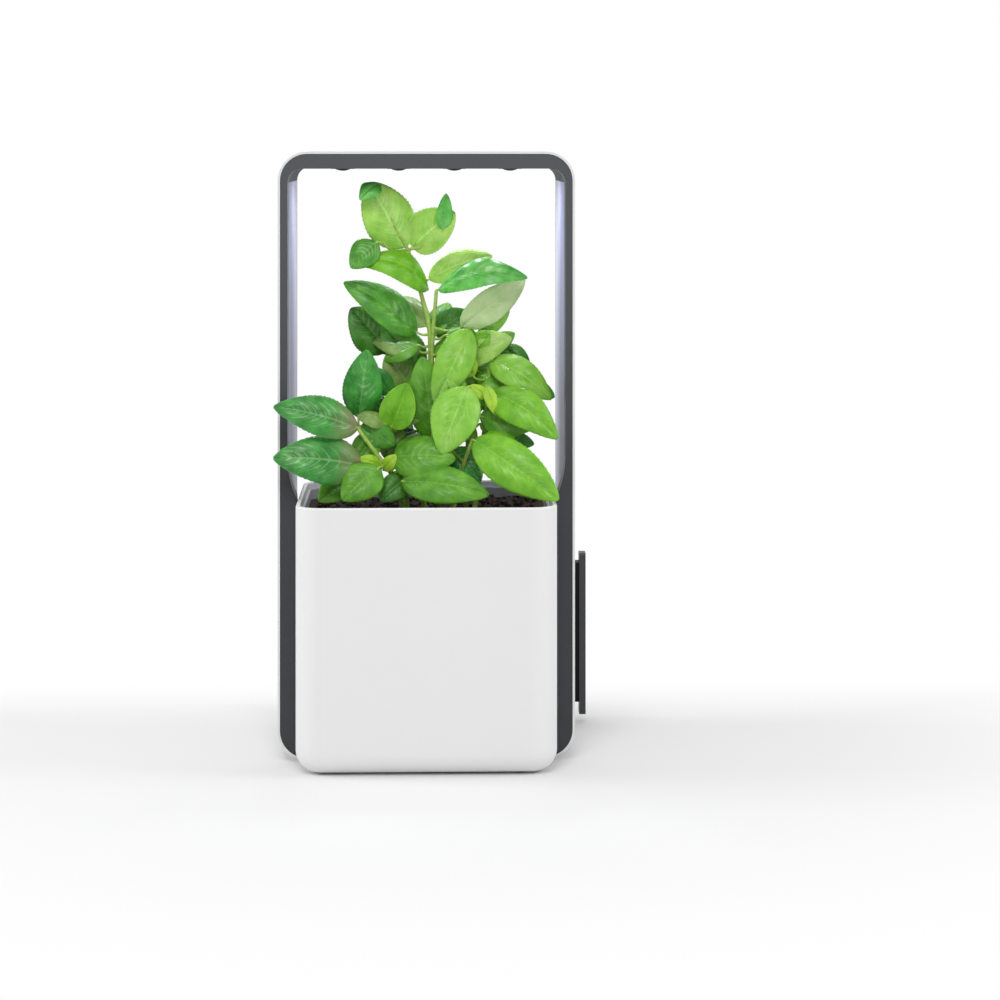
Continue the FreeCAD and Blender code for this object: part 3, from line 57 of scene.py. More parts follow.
class Shader:
    """A material's node tree, with short ways to add and link nodes."""

    def __init__(self, name):
        self.material = bpy.data.materials.new(name)
        self.material.use_nodes = True
        self.tree = self.material.node_tree
        self.tree.nodes.clear()
        self.output = self.add("ShaderNodeOutputMaterial")
        self.surface = self.add("ShaderNodeBsdfPrincipled")
        self.link(self.surface.outputs["BSDF"], self.output.inputs["Surface"])
        self.place = self.add("ShaderNodeTexCoord").outputs["Object"]

    def add(self, kind, **settings):
        node = self.tree.nodes.new(kind)
        for name, value in settings.items():
            setattr(node, name, value)
        return node

    def link(self, source, target):
        self.tree.links.new(source, target)

    def set(self, name, value):
        self.surface.inputs[name].default_value = value

    def math(self, operation, first, second=0.0):
        node = self.add("ShaderNodeMath", operation=operation)
        for index, value in enumerate((first, second)):
            self.feed(node.inputs[index], value)
        return node.outputs["Value"]

    def feed(self, socket, value):
        if isinstance(value, bpy.types.NodeSocket):
            self.link(value, socket)
        else:
            socket.default_value = value

    def split(self, vector):
        node = self.add("ShaderNodeSeparateXYZ")
        self.link(vector, node.inputs["Vector"])
        return node.outputs["X"], node.outputs["Y"], node.outputs["Z"]

    def noise(self, scale, detail=3.0, rough=0.5):
        node = self.add("ShaderNodeTexNoise")
        node.inputs["Scale"].default_value = scale
        node.inputs["Detail"].default_value = detail
        node.inputs["Roughness"].default_value = rough
        self.link(self.place, node.inputs["Vector"])
        return node.outputs["Fac"]

    def ramp(self, value, low, high, start=0.0, end=1.0, soft=False):
        """A number mapped from one range to another, clamped."""
        node = self.add("ShaderNodeMapRange", interpolation_type="SMOOTHSTEP" if soft else "LINEAR")
        self.feed(node.inputs["Value"], value)
        for name, number in (("From Min", low), ("From Max", high), ("To Min", start), ("To Max", end)):
            node.inputs[name].default_value = number
        return node.outputs["Result"]

    def mix(self, share, first, second):
        """A colour between two, each a colour or a socket."""
        node = self.add("ShaderNodeMix", data_type="RGBA")
        self.feed(node.inputs["Factor"], share)
        for socket, value in ((node.inputs["A"], first), (node.inputs["B"], second)):
            self.feed(socket, value if isinstance(value, bpy.types.NodeSocket) else (*value, 1.0))
        return node.outputs["Result"]

    def colour(self, value):
        self.feed(self.surface.inputs["Base Color"],
                  value if isinstance(value, bpy.types.NodeSocket) else (*value, 1.0))

    def rough(self, value):
        self.feed(self.surface.inputs["Roughness"], value)

    def uneven_gloss(self, noise, low, high):
        """A roughness that wanders between two values with a noise."""
        self.rough(self.ramp(noise, NOISE_LOW, NOISE_HIGH, low, high))

    def bump(self, height, distance, strength=1.0):
        node = self.add("ShaderNodeBump")
        node.inputs["Strength"].default_value = strength
        node.inputs["Distance"].default_value = distance
        self.link(height, node.inputs["Height"])
        self.link(node.outputs["Normal"], self.surface.inputs["Normal"])


GLOSS_SWING = 0.05
COAT_ROUGHNESS = 0.15
SHADE_FADE_LOW = 0.12
SHADE_FADE_HIGH = 0.40


def moulded(name, colour, roughness, grain=1800.0, grain_depth=0.00002, shade=0.05, coat=0.0,
            shine=0.5, painted_shade_share=1.0):
    """Moulded plastic: a fine grain over faint flow waves, slight mottling, uneven gloss.

    Its last argument paints shade: how dark the plastic is painted near the floor against its own colour at
    the top.
    """
    shader = Shader(name)
    broad = shader.noise(14.0, 4.0)
    dark = [channel * (1 - shade) for channel in colour]
    light = [min(channel * (1 + shade), 1.0) for channel in colour]
    skin = shader.mix(broad, dark, light)
    # Painted shade: darker towards the floor, up to full colour higher up.
    if painted_shade_share < 1.0:
        rise = shader.ramp(shader.split(shader.place)[2], SHADE_FADE_LOW, SHADE_FADE_HIGH, soft=True)
        skin = shader.mix(rise, [channel * painted_shade_share for channel in colour], skin)
    shader.colour(skin)
    shader.set("Specular IOR Level", shine)
    shader.uneven_gloss(shader.noise(60.0, 4.0), roughness - GLOSS_SWING, roughness + GLOSS_SWING)
    waves = shader.math("MULTIPLY", shader.noise(90.0, 2.0), 2.0)
    shader.bump(shader.math("ADD", shader.noise(grain, 2.0), waves), grain_depth)
    shader.set("Coat Weight", coat)
    shader.set("Coat Roughness", COAT_ROUGHNESS)
    return shader.material


def metal(name, colour, roughness, scratch=400.0):
    shader = Shader(name)
    shader.set("Metallic", 1.0)
    streaks = shader.noise(scratch, 5.0, 0.7)
    shader.colour(shader.mix(streaks, [channel * 0.85 for channel in colour], colour))
    shader.uneven_gloss(streaks, roughness - 0.08, roughness + 0.08)
    shader.bump(streaks, 0.000015)
    return shader.material


def smoked_plastic():
    """The water tank's tinted, half clear plastic."""
    shader = Shader("smoked_plastic")
    shader.colour(shader.mix(shader.noise(20.0), (0.34, 0.36, 0.39), (0.40, 0.42, 0.45)))
    shader.uneven_gloss(shader.noise(80.0), 0.08, 0.16)
    shader.set("Transmission Weight", 0.6)
    shader.set("IOR", 1.49)
    return shader.material


LENS_PITCH = 0.0405
LENS_CORE = 0.0056
LENS_GLINT_FULL = 0.0064


def lens_plastic():
    """A lens with a black middle and a bright rim: a painted glint and glow standing for the light that
    leaves it.
    """
    shader = Shader("lens_plastic")
    across, along, _ = shader.split(shader.place)
    turns = shader.math("FRACT", shader.math("DIVIDE", across, LENS_PITCH))
    side = shader.math("MULTIPLY", shader.math("SUBTRACT", turns, 0.5), LENS_PITCH)
    square = shader.math("ADD", shader.math("POWER", side, 2.0), shader.math("POWER", along, 2.0))
    # Painted glint: the rim is painted bright and glows, though the lens gives no light of its own.
    rim = shader.ramp(shader.math("SQRT", square), LENS_CORE, LENS_GLINT_FULL)
    glint_flecks = shader.mix(shader.noise(900.0), (0.62, 0.63, 0.68), (0.86, 0.87, 0.92))
    shader.colour(shader.mix(rim, (0.006, 0.006, 0.007), glint_flecks))
    shader.uneven_gloss(shader.noise(200.0), 0.40, 0.55)
    shader.set("Specular IOR Level", 0.08)
    shader.link(shader.math("MULTIPLY", rim, 0.55), shader.surface.inputs["Emission Strength"])
    shader.set("Emission Color", (0.95, 0.95, 1.0, 1.0))
    return shader.material


def circuit_board():
    shader = Shader("circuit_board")
    traces = shader.noise(260.0, 6.0, 0.8)
    shader.colour(shader.mix(shader.ramp(traces, 0.48, 0.52), (0.01, 0.09, 0.035), (0.02, 0.16, 0.06)))
    shader.rough(0.35)
    shader.bump(traces, 0.00003)
    return shader.material


def glowing_chip():
    shader = Shader("glowing_chip")
    shader.colour(shader.mix(shader.noise(900.0), (0.80, 0.74, 0.35), (0.9, 0.86, 0.55)))
    shader.rough(0.4)
    shader.set("Emission Color", (0.93, 0.90, 1.0, 1.0))
    shader.set("Emission Strength", 3.0)
    return shader.material


LINER_LOW = 0.19
LINER_HIGH = 0.40
LINER_FRONT = -0.02
LINER_BACK = 0.06


def lit_liner(name, front_low, front_high, back_low, back_high):
    """A side wall with painted light: lighter near the lamp and towards the back, with a faint violet cast
    of the lamp's light.
    """
    shader = Shader(name)
    _, along, height = shader.split(shader.place)
    rise = shader.ramp(height, LINER_LOW, LINER_HIGH, soft=True)
    front = shader.mix(rise, front_low, front_high)
    back = shader.mix(rise, back_low, back_high)
    shader.colour(shader.mix(shader.ramp(along, LINER_FRONT, LINER_BACK, soft=True), front, back))
    shader.uneven_gloss(shader.noise(60.0), 0.50, 0.60)
    shader.bump(shader.noise(1500.0, 2.0), 0.00002)
    return shader.material


def fibre(name, dark, light, scale, depth):
    shader = Shader(name)
    strands = shader.noise(scale, 8.0, 0.75)
    shader.colour(shader.mix(shader.ramp(strands, 0.35, 0.65), dark, light))
    shader.rough(0.95)
    shader.bump(strands, depth)
    return shader.material


def paint(material, names):
    for name in names:
        piece = nodes[name]
        piece.data.materials.clear()
        piece.data.materials.append(material)


GLOSS_WHITE = (0.72, 0.72, 0.72)
PLANTER_WHITE = (0.80, 0.80, 0.80)
SLATE = (0.078, 0.084, 0.092)

paint(moulded("shell_plastic", GLOSS_WHITE, 0.32, 1600.0, 0.000008, 0.01, 0.25), ["outer_shell"])
paint(moulded("planter_plastic", PLANTER_WHITE, 0.42, 1200.0, 0.000012, 0.01), ["planter_shell"])
# The bezel is painted darker towards the floor: painted shade.
paint(moulded("bezel_plastic", SLATE, 0.50, shine=0.25, painted_shade_share=0.55), ["front_bezel", "rear_bezel"])
paint(moulded("cover_plastic", SLATE, 0.55, shine=0.3), ["lamp_housing", "rear_cover"])
# The lamp's inner corners are painted darker than the slate around them: painted shade.
paint(moulded("corner_shade_plastic", (0.034, 0.037, 0.042), 0.6, shine=0.2), ["lamp_corners"])
# Both walls are painted light from the lamp, the right one lighter than the left.
paint(lit_liner("lit_liner_left", (0.21, 0.22, 0.29), (0.255, 0.275, 0.39),
                (0.49, 0.51, 0.58), (0.70, 0.72, 0.84)), ["left_liner"])
paint(lit_liner("lit_liner_right", (0.22, 0.23, 0.30), (0.31, 0.335, 0.52),
                (0.66, 0.67, 0.76), (0.90, 0.91, 0.98)), ["right_liner"])
paint(moulded("housing_plastic", (0.10, 0.105, 0.11), 0.6),
      ["rear_housing", "frame_floor", "guide_rails", "control_posts", "power_switch", "pump_housing",
       "tank_rails"])
paint(moulded("foot_rubber", (0.025, 0.025, 0.026), 0.85, 900.0, 0.00004), ["base_foot", "planter_feet"])
paint(circuit_board(), ["led_board", "control_board"])
paint(glowing_chip(), ["led_chips"])
paint(lens_plastic(), ["led_lenses"])
paint(moulded("ring_plastic", (0.02, 0.02, 0.022), 0.35), ["led_lens_rings"])
paint(metal("screw_steel", (0.55, 0.55, 0.56), 0.35), ["led_board_screws", "cover_screws", "power_inlet"])
paint(metal("motor_metal", (0.62, 0.63, 0.65), 0.4), ["pump_motor"])
paint(moulded("lead_rubber", (0.02, 0.02, 0.02), 0.7), ["lamp_lead", "pump_lead"])
paint(moulded("spout_plastic", (0.55, 0.56, 0.58), 0.3), ["feed_spout"])
paint(smoked_plastic(), ["water_tank"])
paint(moulded("grip_black", (0.005, 0.005, 0.006), 0.5, shine=0.12), ["grip_neck", "tank_outlet"])
paint(moulded("grip_grey", (0.050, 0.054, 0.058), 0.42, shine=0.3), ["grip_plate", "power_button"])
paint(moulded("tub_plastic", (0.50, 0.50, 0.52), 0.5), ["reservoir_liner", "grow_deck", "float_guide"])
paint(moulded("pot_plastic", (0.012, 0.012, 0.013), 0.6), ["net_pots", "pump_impeller"])
paint(moulded("float_foam", (0.55, 0.16, 0.03), 0.85, 700.0, 0.0001, 0.12), ["water_float"])
paint(fibre("plug_fibre", (0.05, 0.03, 0.018), (0.14, 0.09, 0.05), 500.0, 0.0008), ["root_plugs"])
paint(fibre("wick_cotton", (0.55, 0.54, 0.50), (0.8, 0.79, 0.75), 900.0, 0.0004), ["wicks"])


# The basil: the same stems and leaves as the solids, in millimetres

STEMS = {
    "main": ((9, -42, 173), (6, -44, 229), (4, -42, 282), (7, -41, 328)),
    "second": ((-2, -38, 173), (1, -38, 250), (2, -40, 301), (-4, -40, 326), (-13, -39, 357)),
    "left": ((-16, -60, 173), (-22, -66, 196), (-34, -73, 214), (-47, -76, 232)),
    "left_back": ((-14, -44, 173), (-18, -42, 230), (-21, -38, 266), (-27, -32, 285)),
    "right": ((34, -52, 173), (40, -50, 220), (44, -47, 256), (45, -43, 279)),
    "right_back": ((28, -34, 173), (30, -36, 240), (29, -37, 280)),
    "front_right": ((18, -64, 173), (25, -73, 205), (32, -82, 226)),
    "front": ((0, -62, 173), (-5, -72, 189), (-14, -86, 200)),
}

# Each leaf: stalk end, tip, width, lean of its face up from the front, bow, edge droop, tip curl, tone
LEAVES = {
    "crown_left": ((-15, -40, 359), (-42, -46, 405), 37, 14, 0.10, 0.14, 0.10, "pale"),
    "crown_fold": ((-33, -50, 404), (-47, -58, 393), 15, 40, 0.20, 0.30, 0.00, "glossy"),
    "crown_right": ((-10, -38, 359), (20, -45, 384), 31, 12, 0.08, -0.28, 0.00, "pale"),
    "crown_spike": ((12, -47, 371), (14, -48, 397), 11, 20, 0.10, 0.20, 0.00, "glossy"),
    "upper_left_arch": ((1, -40, 329), (-49, -56, 351), 26, 36, 0.30, 0.26, -0.10, "bright"),
    "upper_left_fold": ((-35, -56, 363), (-53, -62, 345), 21, 18, 0.16, 0.24, 0.00, "shaded"),
    "upper_right_arch": ((9, -42, 329), (71, -62, 338), 26, 42, 0.22, 0.24, 0.00, "glossy"),
    "upper_back": ((2, -36, 336), (47, -26, 352), 22, 28, 0.16, 0.18, 0.00, "pale"),
    "upper_right_pale": ((25, -38, 302), (70, -44, 336), 24, -16, 0.08, 0.12, 0.00, "silver"),
    "upper_right_small": ((38, -30, 296), (60, -34, 315), 15, 20, 0.10, 0.20, 0.10, "light"),
    "middle_left_dark": ((-7, -38, 298), (-57, -50, 335), 28, 28, 0.14, 0.22, -0.06, "shaded"),
    "left_screen": ((-3, -33, 269), (-32, -35, 303), 28, 22, 0.12, 0.20, 0.00, "shaded"),
    "left_shoulder": ((-28, -30, 284), (-54, -34, 315), 32, 22, 0.10, 0.18, 0.00, "dark"),
    "left_glossy": ((-48, -52, 239), (-42, -58, 287), 28, 10, 0.12, 0.24, 0.00, "deep"),
    "left_striped": ((-26, -44, 254), (-38, -48, 274), 15, 18, 0.08, 0.18, 0.00, "deep"),
    "olive": ((-11, -36, 258), (-29, -42, 282), 27, 22, 0.08, 0.12, 0.00, "olive"),
    "pale_small": ((-18, -34, 280), (-30, -38, 292), 11, 25, 0.10, 0.15, 0.00, "silver"),
    "curled": ((-25, -58, 232), (-13, -62, 264), 25, 18, 0.14, -0.30, 0.08, "bright"),
    "far_left_upper": ((-48, -77, 234), (-105, -94, 251), 29, 22, 0.14, 0.20, -0.04, "browned"),
    "far_left_lower": ((-44, -80, 208), (-105, -98, 216), 35, 20, 0.14, 0.20, -0.04, "browned"),
    "low_left_dark": ((-52, -68, 196), (-75, -86, 184), 21, 30, 0.14, 0.18, 0.00, "mid"),
    "low_left_veined": ((-33, -84, 207), (-58, -98, 186), 28, 22, 0.14, 0.18, 0.00, "mid"),
    "bud_left": ((-31, -72, 206), (-47, -80, 213), 11, 30, 0.14, 0.15, 0.00, "young"),
    "bud_right": ((-30, -72, 204), (-21, -78, 215), 10, 30, 0.10, 0.15, 0.00, "young"),
    "pale_curl": ((-29, -60, 235), (-49, -66, 241), 13, 35, 0.15, 0.25, 0.00, "olive"),
    "left_knot": ((-46, -64, 234), (-22, -60, 220), 20, 24, 0.12, 0.20, 0.00, "shaded"),
    "left_under": ((-36, -60, 228), (-51, -70, 208), 20, 22, 0.10, 0.18, 0.00, "mid"),
    "front_bright": ((29, -72, 262), (10, -88, 217), 34, 8, 0.14, 0.22, 0.00, "light"),
    "front_behind": ((28, -62, 258), (14, -66, 268), 13, 25, 0.10, 0.20, 0.00, "light"),
    "centre_upright": ((4, -50, 224), (-3, -58, 282), 30, 8, 0.10, 0.15, 0.00, "mid"),
    "centre_sweep": ((30, -50, 301), (6, -64, 250), 27, 16, 0.12, 0.20, 0.00, "light"),
    "centre_band": ((4, -38, 285), (36, -42, 284), 22, 30, 0.12, 0.20, 0.00, "mid"),
    "centre_shade": ((-2, -40, 264), (-24, -48, 233), 25, 20, 0.10, 0.20, 0.00, "mid"),
    "centre_low": ((-24, -72, 212), (20, -88, 213), 34, 34, 0.18, 0.26, 0.00, "mid"),
    "front_low": ((-17, -88, 198), (43, -102, 190), 29, 28, 0.16, 0.20, 0.00, "mid"),
    "low_centre_dark": ((-13, -76, 200), (-32, -86, 184), 20, 30, 0.10, 0.20, 0.00, "dark"),
    "right_shoulder": ((18, -36, 279), (61, -42, 294), 26, 24, 0.16, 0.22, 0.00, "pale"),
    "right_crown_near": ((29, -40, 281), (45, -44, 297), 16, 22, 0.10, 0.20, 0.00, "bright"),
    "right_crown_far": ((45, -32, 285), (63, -34, 297), 14, 28, 0.10, 0.20, 0.00, "mid"),
    "right_crown_dark": ((54, -28, 287), (74, -34, 270), 17, 26, 0.12, 0.20, 0.00, "dark"),
    "yellow": ((33, -56, 268), (22, -58, 289), 15, 14, 0.10, 0.15, 0.00, "young"),
    "right_upper": ((45, -44, 279), (88, -62, 253), 25, 26, 0.16, 0.20, -0.04, "light"),
    "right_middle": ((45, -58, 257), (91, -82, 229), 29, 24, 0.20, 0.22, -0.10, "bright"),
    "right_edge_dark": ((72, -40, 260), (91, -46, 252), 14, 35, 0.10, 0.15, 0.00, "deep"),
    "right_inner": ((38, -60, 240), (78, -68, 235), 26, 22, 0.12, 0.22, 0.00, "mid"),
    "star_low": ((42, -66, 262), (48, -72, 243), 9, 16, 0.10, 0.10, 0.00, "young"),
    "star_high": ((42, -66, 254), (31, -70, 263), 9, 20, 0.10, 0.10, 0.00, "young"),
    "dark_buds": ((53, -52, 223), (76, -58, 220), 14, 30, 0.10, 0.10, 0.00, "deep"),
    "large_low_right": ((33, -84, 226), (91, -105, 187), 33, 18, 0.12, 0.18, 0.00, "bright"),
    "low_dark": ((18, -66, 218), (38, -74, 196), 22, 26, 0.10, 0.20, 0.00, "deep"),
    "behind_stem": ((5, -32, 297), (31, -34, 312), 23, 24, 0.10, 0.20, 0.00, "dark"),
}

# Smaller leaves that fill out the plant: each starts on a stem, turned on from the one below.
# Those that point forward hang, those that point back rise, and all face up to the front.
FILL_COUNT = 34
FILL_TURN = 137.5
FILL_LOW = 200
FILL_RISE = 3
FILL_LEAN = 45
FILL_SWAY = (-18, 0, 18)
FILL_STALK = 9
FILL_LENGTH = 38
FILL_SHORTER = 3
FILL_LENGTHS = 4
FILL_STRIDE = 5
FILL_WIDTH = 0.62
FILL_SLOPE = 0.7
FILL_BOW = 0.14
FILL_DROOP = 0.2
# How far left, right and forward they may reach below each height, and how far back and down
FILL_ROOM = ((238, -52, 62, -66), (288, -44, 60, -50), (400, -30, 38, -38))
FILL_BACK = -8
FILL_FLOOR = 184
FILL_MIDDLE = -8
LEFT_TONES = ("dark", "mid", "deep", "olive", "mid")
RIGHT_TONES = ("mid", "bright", "mid", "dark", "bright")

BELLY = 0.8
BLUNT = 0.62
CURL_START = 0.6
STEM_RADIUS = 2.1
STALK_RADIUS = 0.9
STEM_TAPER = 0.4
STALK_STEPS = 12
STALK_DIP = 1
STALK_LAP = 4
STALK_SAG = 0.12
STALK_TAPER = (1.3, 1.0, 0.9, 0.4)


def stem_places():
    """Places spread along every stem."""
    places = []
    for points in STEMS.values():
        for low, high in zip(points, points[1:]):
            for step in range(STALK_STEPS + 1):
                places.append(Vector(low).lerp(Vector(high), step / STALK_STEPS))
    return places


def stalk_start(end):
    """The nearest place on any stem that isn't above the leaf's own end."""
    below = [place for place in stem_places() if place.z <= end.z + STALK_DIP]
    return min(below, key=lambda place: (place - end).length)


def facing(turn, lean):
    """The way a leaf faces: turned from the front, then leaned up, both in degrees."""
    around = math.radians(turn)
    up = math.radians(lean)
    return Vector((math.sin(around) * math.cos(up), -math.cos(around) * math.cos(up), math.sin(up)))


def clamp(value, low, high):
    return max(low, min(high, value))


def fill_leaves():
    """The smaller leaves, as base, tip, width and the way each faces."""
    found = []
    for index in range(FILL_COUNT):
        around = math.radians(index * FILL_TURN)
        height = FILL_LOW + FILL_RISE * index
        left, right, front = [room[1:] for room in FILL_ROOM if room[0] > height][0]
        near = [place for place in stem_places() if abs(place.z - height) < FILL_RISE]
        root = near[index * FILL_STRIDE % len(near)]
        slope = -math.cos(around) * FILL_SLOPE
        out = Vector((math.sin(around), slope, slope)).normalized()
        length = FILL_LENGTH - FILL_SHORTER * (index % FILL_LENGTHS)
        base = root + out * FILL_STALK
        tip = base + out * length
        tip = Vector((clamp(tip.x, left, right), clamp(tip.y, min(front, base.y), FILL_BACK),
                      max(tip.z, FILL_FLOOR)))
        sway = FILL_SWAY[index % len(FILL_SWAY)]
        found.append((base, tip, length * FILL_WIDTH, facing(sway, FILL_LEAN)))
    return found


# Leaf tones: colour, darker colour, vein colour, roughness, strength of the veins and of the painted sheen

# The tones are partly painted light: lighter and darker greens stand for how lit or shaded each leaf is as
# well as for its own colour.
TONES = {
    "bright": ((0.221, 0.556, 0.023), (0.124, 0.391, 0.012), (0.37, 0.70, 0.09), 0.36, 0.30, 0.22),
    "light": ((0.300, 0.640, 0.065), (0.180, 0.480, 0.035), (0.50, 0.80, 0.20), 0.36, 0.32, 0.30),
    "mid": ((0.146, 0.420, 0.022), (0.067, 0.258, 0.012), (0.27, 0.58, 0.08), 0.36, 0.32, 0.22),
    "dark": ((0.069, 0.269, 0.020), (0.027, 0.134, 0.010), (0.18, 0.47, 0.08), 0.34, 0.30, 0.22),
    "shaded": ((0.122, 0.430, 0.036), (0.045, 0.215, 0.018), (0.24, 0.52, 0.12), 0.32, 0.22, 0.34),
    "deep": ((0.062, 0.400, 0.044), (0.024, 0.200, 0.024), (0.30, 0.60, 0.24), 0.28, 0.32, 0.48),
    "glossy": ((0.170, 0.640, 0.110), (0.060, 0.360, 0.040), (0.42, 0.74, 0.28), 0.22, 0.32, 0.60),
    "pale": ((0.437, 0.706, 0.134), (0.269, 0.538, 0.067), (0.69, 0.90, 0.45), 0.42, 0.40, 0.40),
    "silver": ((0.700, 0.840, 0.500), (0.540, 0.740, 0.340), (0.78, 0.88, 0.64), 0.46, 0.50, 0.40),
    "olive": ((0.269, 0.414, 0.106), (0.146, 0.269, 0.050), (0.43, 0.60, 0.27), 0.46, 0.45, 0.35),
    "young": ((0.448, 0.728, 0.045), (0.280, 0.549, 0.025), (0.65, 0.87, 0.16), 0.40, 0.45, 0.20),
    "browned": ((0.050, 0.336, 0.043), (0.020, 0.168, 0.020), (0.36, 0.60, 0.32), 0.32, 0.36, 0.55),
}
BROWN = (0.27, 0.24, 0.12)
PAINTED_SHEEN = (0.62, 0.78, 0.50)
VEIN_PAIRS = 8.0
VEIN_SWEEP = 3.2
VEIN_BEND = 1.5
UNDER_PALE = (0.42, 0.55, 0.30)
UNDER_SHARE = 0.3
UNDER_ROUGHER = 0.2
MOTTLE_SCALE = 110.0
FINE_SCALE = 1400.0
VEIN_RIDGE = 0.9


def leaf_material(tone, under=False):
    """A leaf blade: midrib and side veins from its own coordinates, mottled between them, with a painted
    sheen between the veins.
    """
    main, dark, vein, roughness, vein_share, painted_sheen_share = TONES[tone]
    if under:
        main, dark, vein = [[channel * (1 - UNDER_SHARE) + pale * UNDER_SHARE
                             for channel, pale in zip(colour, UNDER_PALE)] for colour in (main, dark, vein)]
        roughness += UNDER_ROUGHER
        painted_sheen_share = 0.0
    shader = Shader("leaf_" + tone + ("_under" if under else ""))
    spot = shader.add("ShaderNodeUVMap", uv_map="blade").outputs["UV"]
    crosswise, along, _ = shader.split(spot)
    side = shader.math("MULTIPLY", shader.math("ABSOLUTE", shader.math("SUBTRACT", crosswise, 0.5)), 2.0)
    wander = shader.math("MULTIPLY", shader.noise(90.0, 2.0), 0.5)
    bend = shader.math("MULTIPLY", shader.math("POWER", side, VEIN_BEND), VEIN_SWEEP)
    lines = shader.math("ADD", shader.math("SUBTRACT", shader.math("MULTIPLY", along, VEIN_PAIRS), bend),
                        wander)
    near = shader.math("ABSOLUTE", shader.math("SUBTRACT", shader.math("FRACT", lines), 0.5))
    side_vein = shader.ramp(near, 0.11, 0.02, soft=True)
    fade = shader.ramp(side, 0.90, 0.15)
    midrib = shader.ramp(side, 0.07, 0.02)
    veins = shader.math("MAXIMUM", shader.math("MULTIPLY", side_vein, fade), midrib)
    mottle = shader.ramp(shader.noise(MOTTLE_SCALE, 4.0, 0.55), 0.32, 0.68)
    fine = shader.noise(FINE_SCALE, 3.0, 0.6)
    base = shader.mix(mottle, dark, main)
    # Painted sheen: a pale highlight painted on the puffs between the veins, in patches.
    streaks = shader.ramp(shader.noise(700.0, 2.0), 0.35, 0.65, 0.5, 1.0)
    sheen_crest = shader.math("MULTIPLY", shader.ramp(near, 0.10, 0.50, soft=True), shader.ramp(side, 0.95, 0.15))
    sheen_patch = shader.math("MULTIPLY", shader.math("MULTIPLY", sheen_crest, streaks),
                        shader.ramp(shader.noise(55.0, 2.0), 0.42, 0.66, soft=True))
    base = shader.mix(shader.math("MULTIPLY", sheen_patch, painted_sheen_share), base, PAINTED_SHEEN)
    base = shader.mix(shader.math("MULTIPLY", veins, vein_share), base, vein)
    if tone == "browned":
        old = shader.ramp(shader.math("ADD", along, shader.math("MULTIPLY", mottle, 0.14)), 0.46, 0.12)
        base = shader.mix(shader.math("MULTIPLY", old, 0.8), base, BROWN)
    rim = shader.ramp(side, 0.90, 1.0)
    shader.colour(shader.mix(shader.math("MULTIPLY", rim, 0.25), base, vein))
    shader.uneven_gloss(fine, roughness - 0.05, roughness + 0.07)
    ridge = VEIN_RIDGE if under else -VEIN_RIDGE
    height = shader.math("ADD", shader.math("MULTIPLY", fine, 0.3), shader.math("MULTIPLY", veins, ridge))
    shader.bump(height, 0.0003, 0.7)
    shader.set("Specular IOR Level", 0.3)
    shader.set("Subsurface Weight", 0.15)
    shader.set("Subsurface Radius", (0.4, 0.8, 0.1))
    shader.set("Subsurface Scale", 0.003)
    shader.set("Coat Weight", 0.0 if under else 0.15)
    shader.set("Coat Roughness", 0.22)
    return shader.material


upper_sides = {tone: leaf_material(tone) for tone in TONES}
under_sides = {tone: leaf_material(tone, under=True) for tone in TONES}

FULL_CELLS = (20, 44)
FILL_CELLS = (14, 26)
QUILT = 0.055
GROOVE = 0.13
GROOVE_WIDTH = 0.22
LEAF_WALL = 0.0005
MARGIN = 0.02
TEETH = 34
TOOTH_EDGE = 6
SHARP = 0.03
SKEW = 0.06
TWIST = 0.10
RIPPLE = (0.02, 0.06)
RIPPLE_WAVES = 9


def blade_share(place):
    """The share of a leaf's full width at a place from stalk (0) to tip (1)."""
    inner = clamp(place, 0.004, 0.996)
    return max(math.sin(math.pi * inner ** BELLY), 0.0) ** BLUNT


def leaf_mesh(name, base, tip, width, face, bow, droop, curl, seed, cells):
    """A bowed blade with drooping, slightly toothed edges and puffed skin between its veins."""
    dice = random.Random(seed)
    start = Vector(base) * MM
    reach = Vector(tip) * MM - start
    length = reach.length
    axis = reach / length
    face = (face - axis * face.dot(axis)).normalized()
    across = axis.cross(face)
    wave = dice.uniform(0.0, math.tau)
    ripple = dice.uniform(*RIPPLE)
    skew = dice.uniform(-SKEW, SKEW)
    twist = dice.uniform(-TWIST, TWIST)
    columns, rows = cells
    points = []
    spots = []
    for row in range(rows + 1):
        place = row / rows
        late = max(place - CURL_START, 0.0) / (1 - CURL_START)
        rise = bow * 4 * place * (1 - place) + curl * late ** 2
        slope = bow * 4 * (1 - 2 * place) + 2 * curl * late / (1 - CURL_START)
        spine = start + (axis * place + face * rise) * length
        up = (face - axis * slope).normalized()
        half = width * MM / 2 * max(blade_share(place), SHARP)
        for column in range(columns + 1):
            side = 2 * column / columns - 1
            out = abs(side)
            tooth = 1 + MARGIN * math.sin(place * TEETH * math.pi + wave) * out ** TOOTH_EDGE
            phase = place * VEIN_PAIRS - out ** VEIN_BEND * VEIN_SWEEP
            puff = abs(math.sin(math.pi * (phase % 1.0)))
            lift = QUILT * puff * (1 - out ** 4) * min(out * 5, 1.0)
            lift += ripple * math.sin(place * RIPPLE_WAVES + wave + side * 2) * out ** 2
            lift -= GROOVE * math.exp(-(out / GROOVE_WIDTH) ** 2)
            lift += twist * side * place
            lift -= droop * side * side
            shift = side * tooth + skew * math.sin(math.pi * place)
            points.append(spine + across * (half * shift) + up * (half * lift))
            spots.append((0.5 + side / 2, place))
    wide = columns + 1
    faces = []
    for row in range(rows):
        for column in range(columns):
            corner = row * wide + column
            faces.append((corner, corner + 1, corner + wide + 1, corner + wide))
    mesh = bpy.data.meshes.new(name)
    mesh.from_pydata(points, [], faces)
    layer = mesh.uv_layers.new(name="blade")
    for polygon in mesh.polygons:
        for loop in polygon.loop_indices:
            layer.data[loop].uv = spots[mesh.loops[loop].vertex_index]
    mesh.shade_smooth()
    return mesh


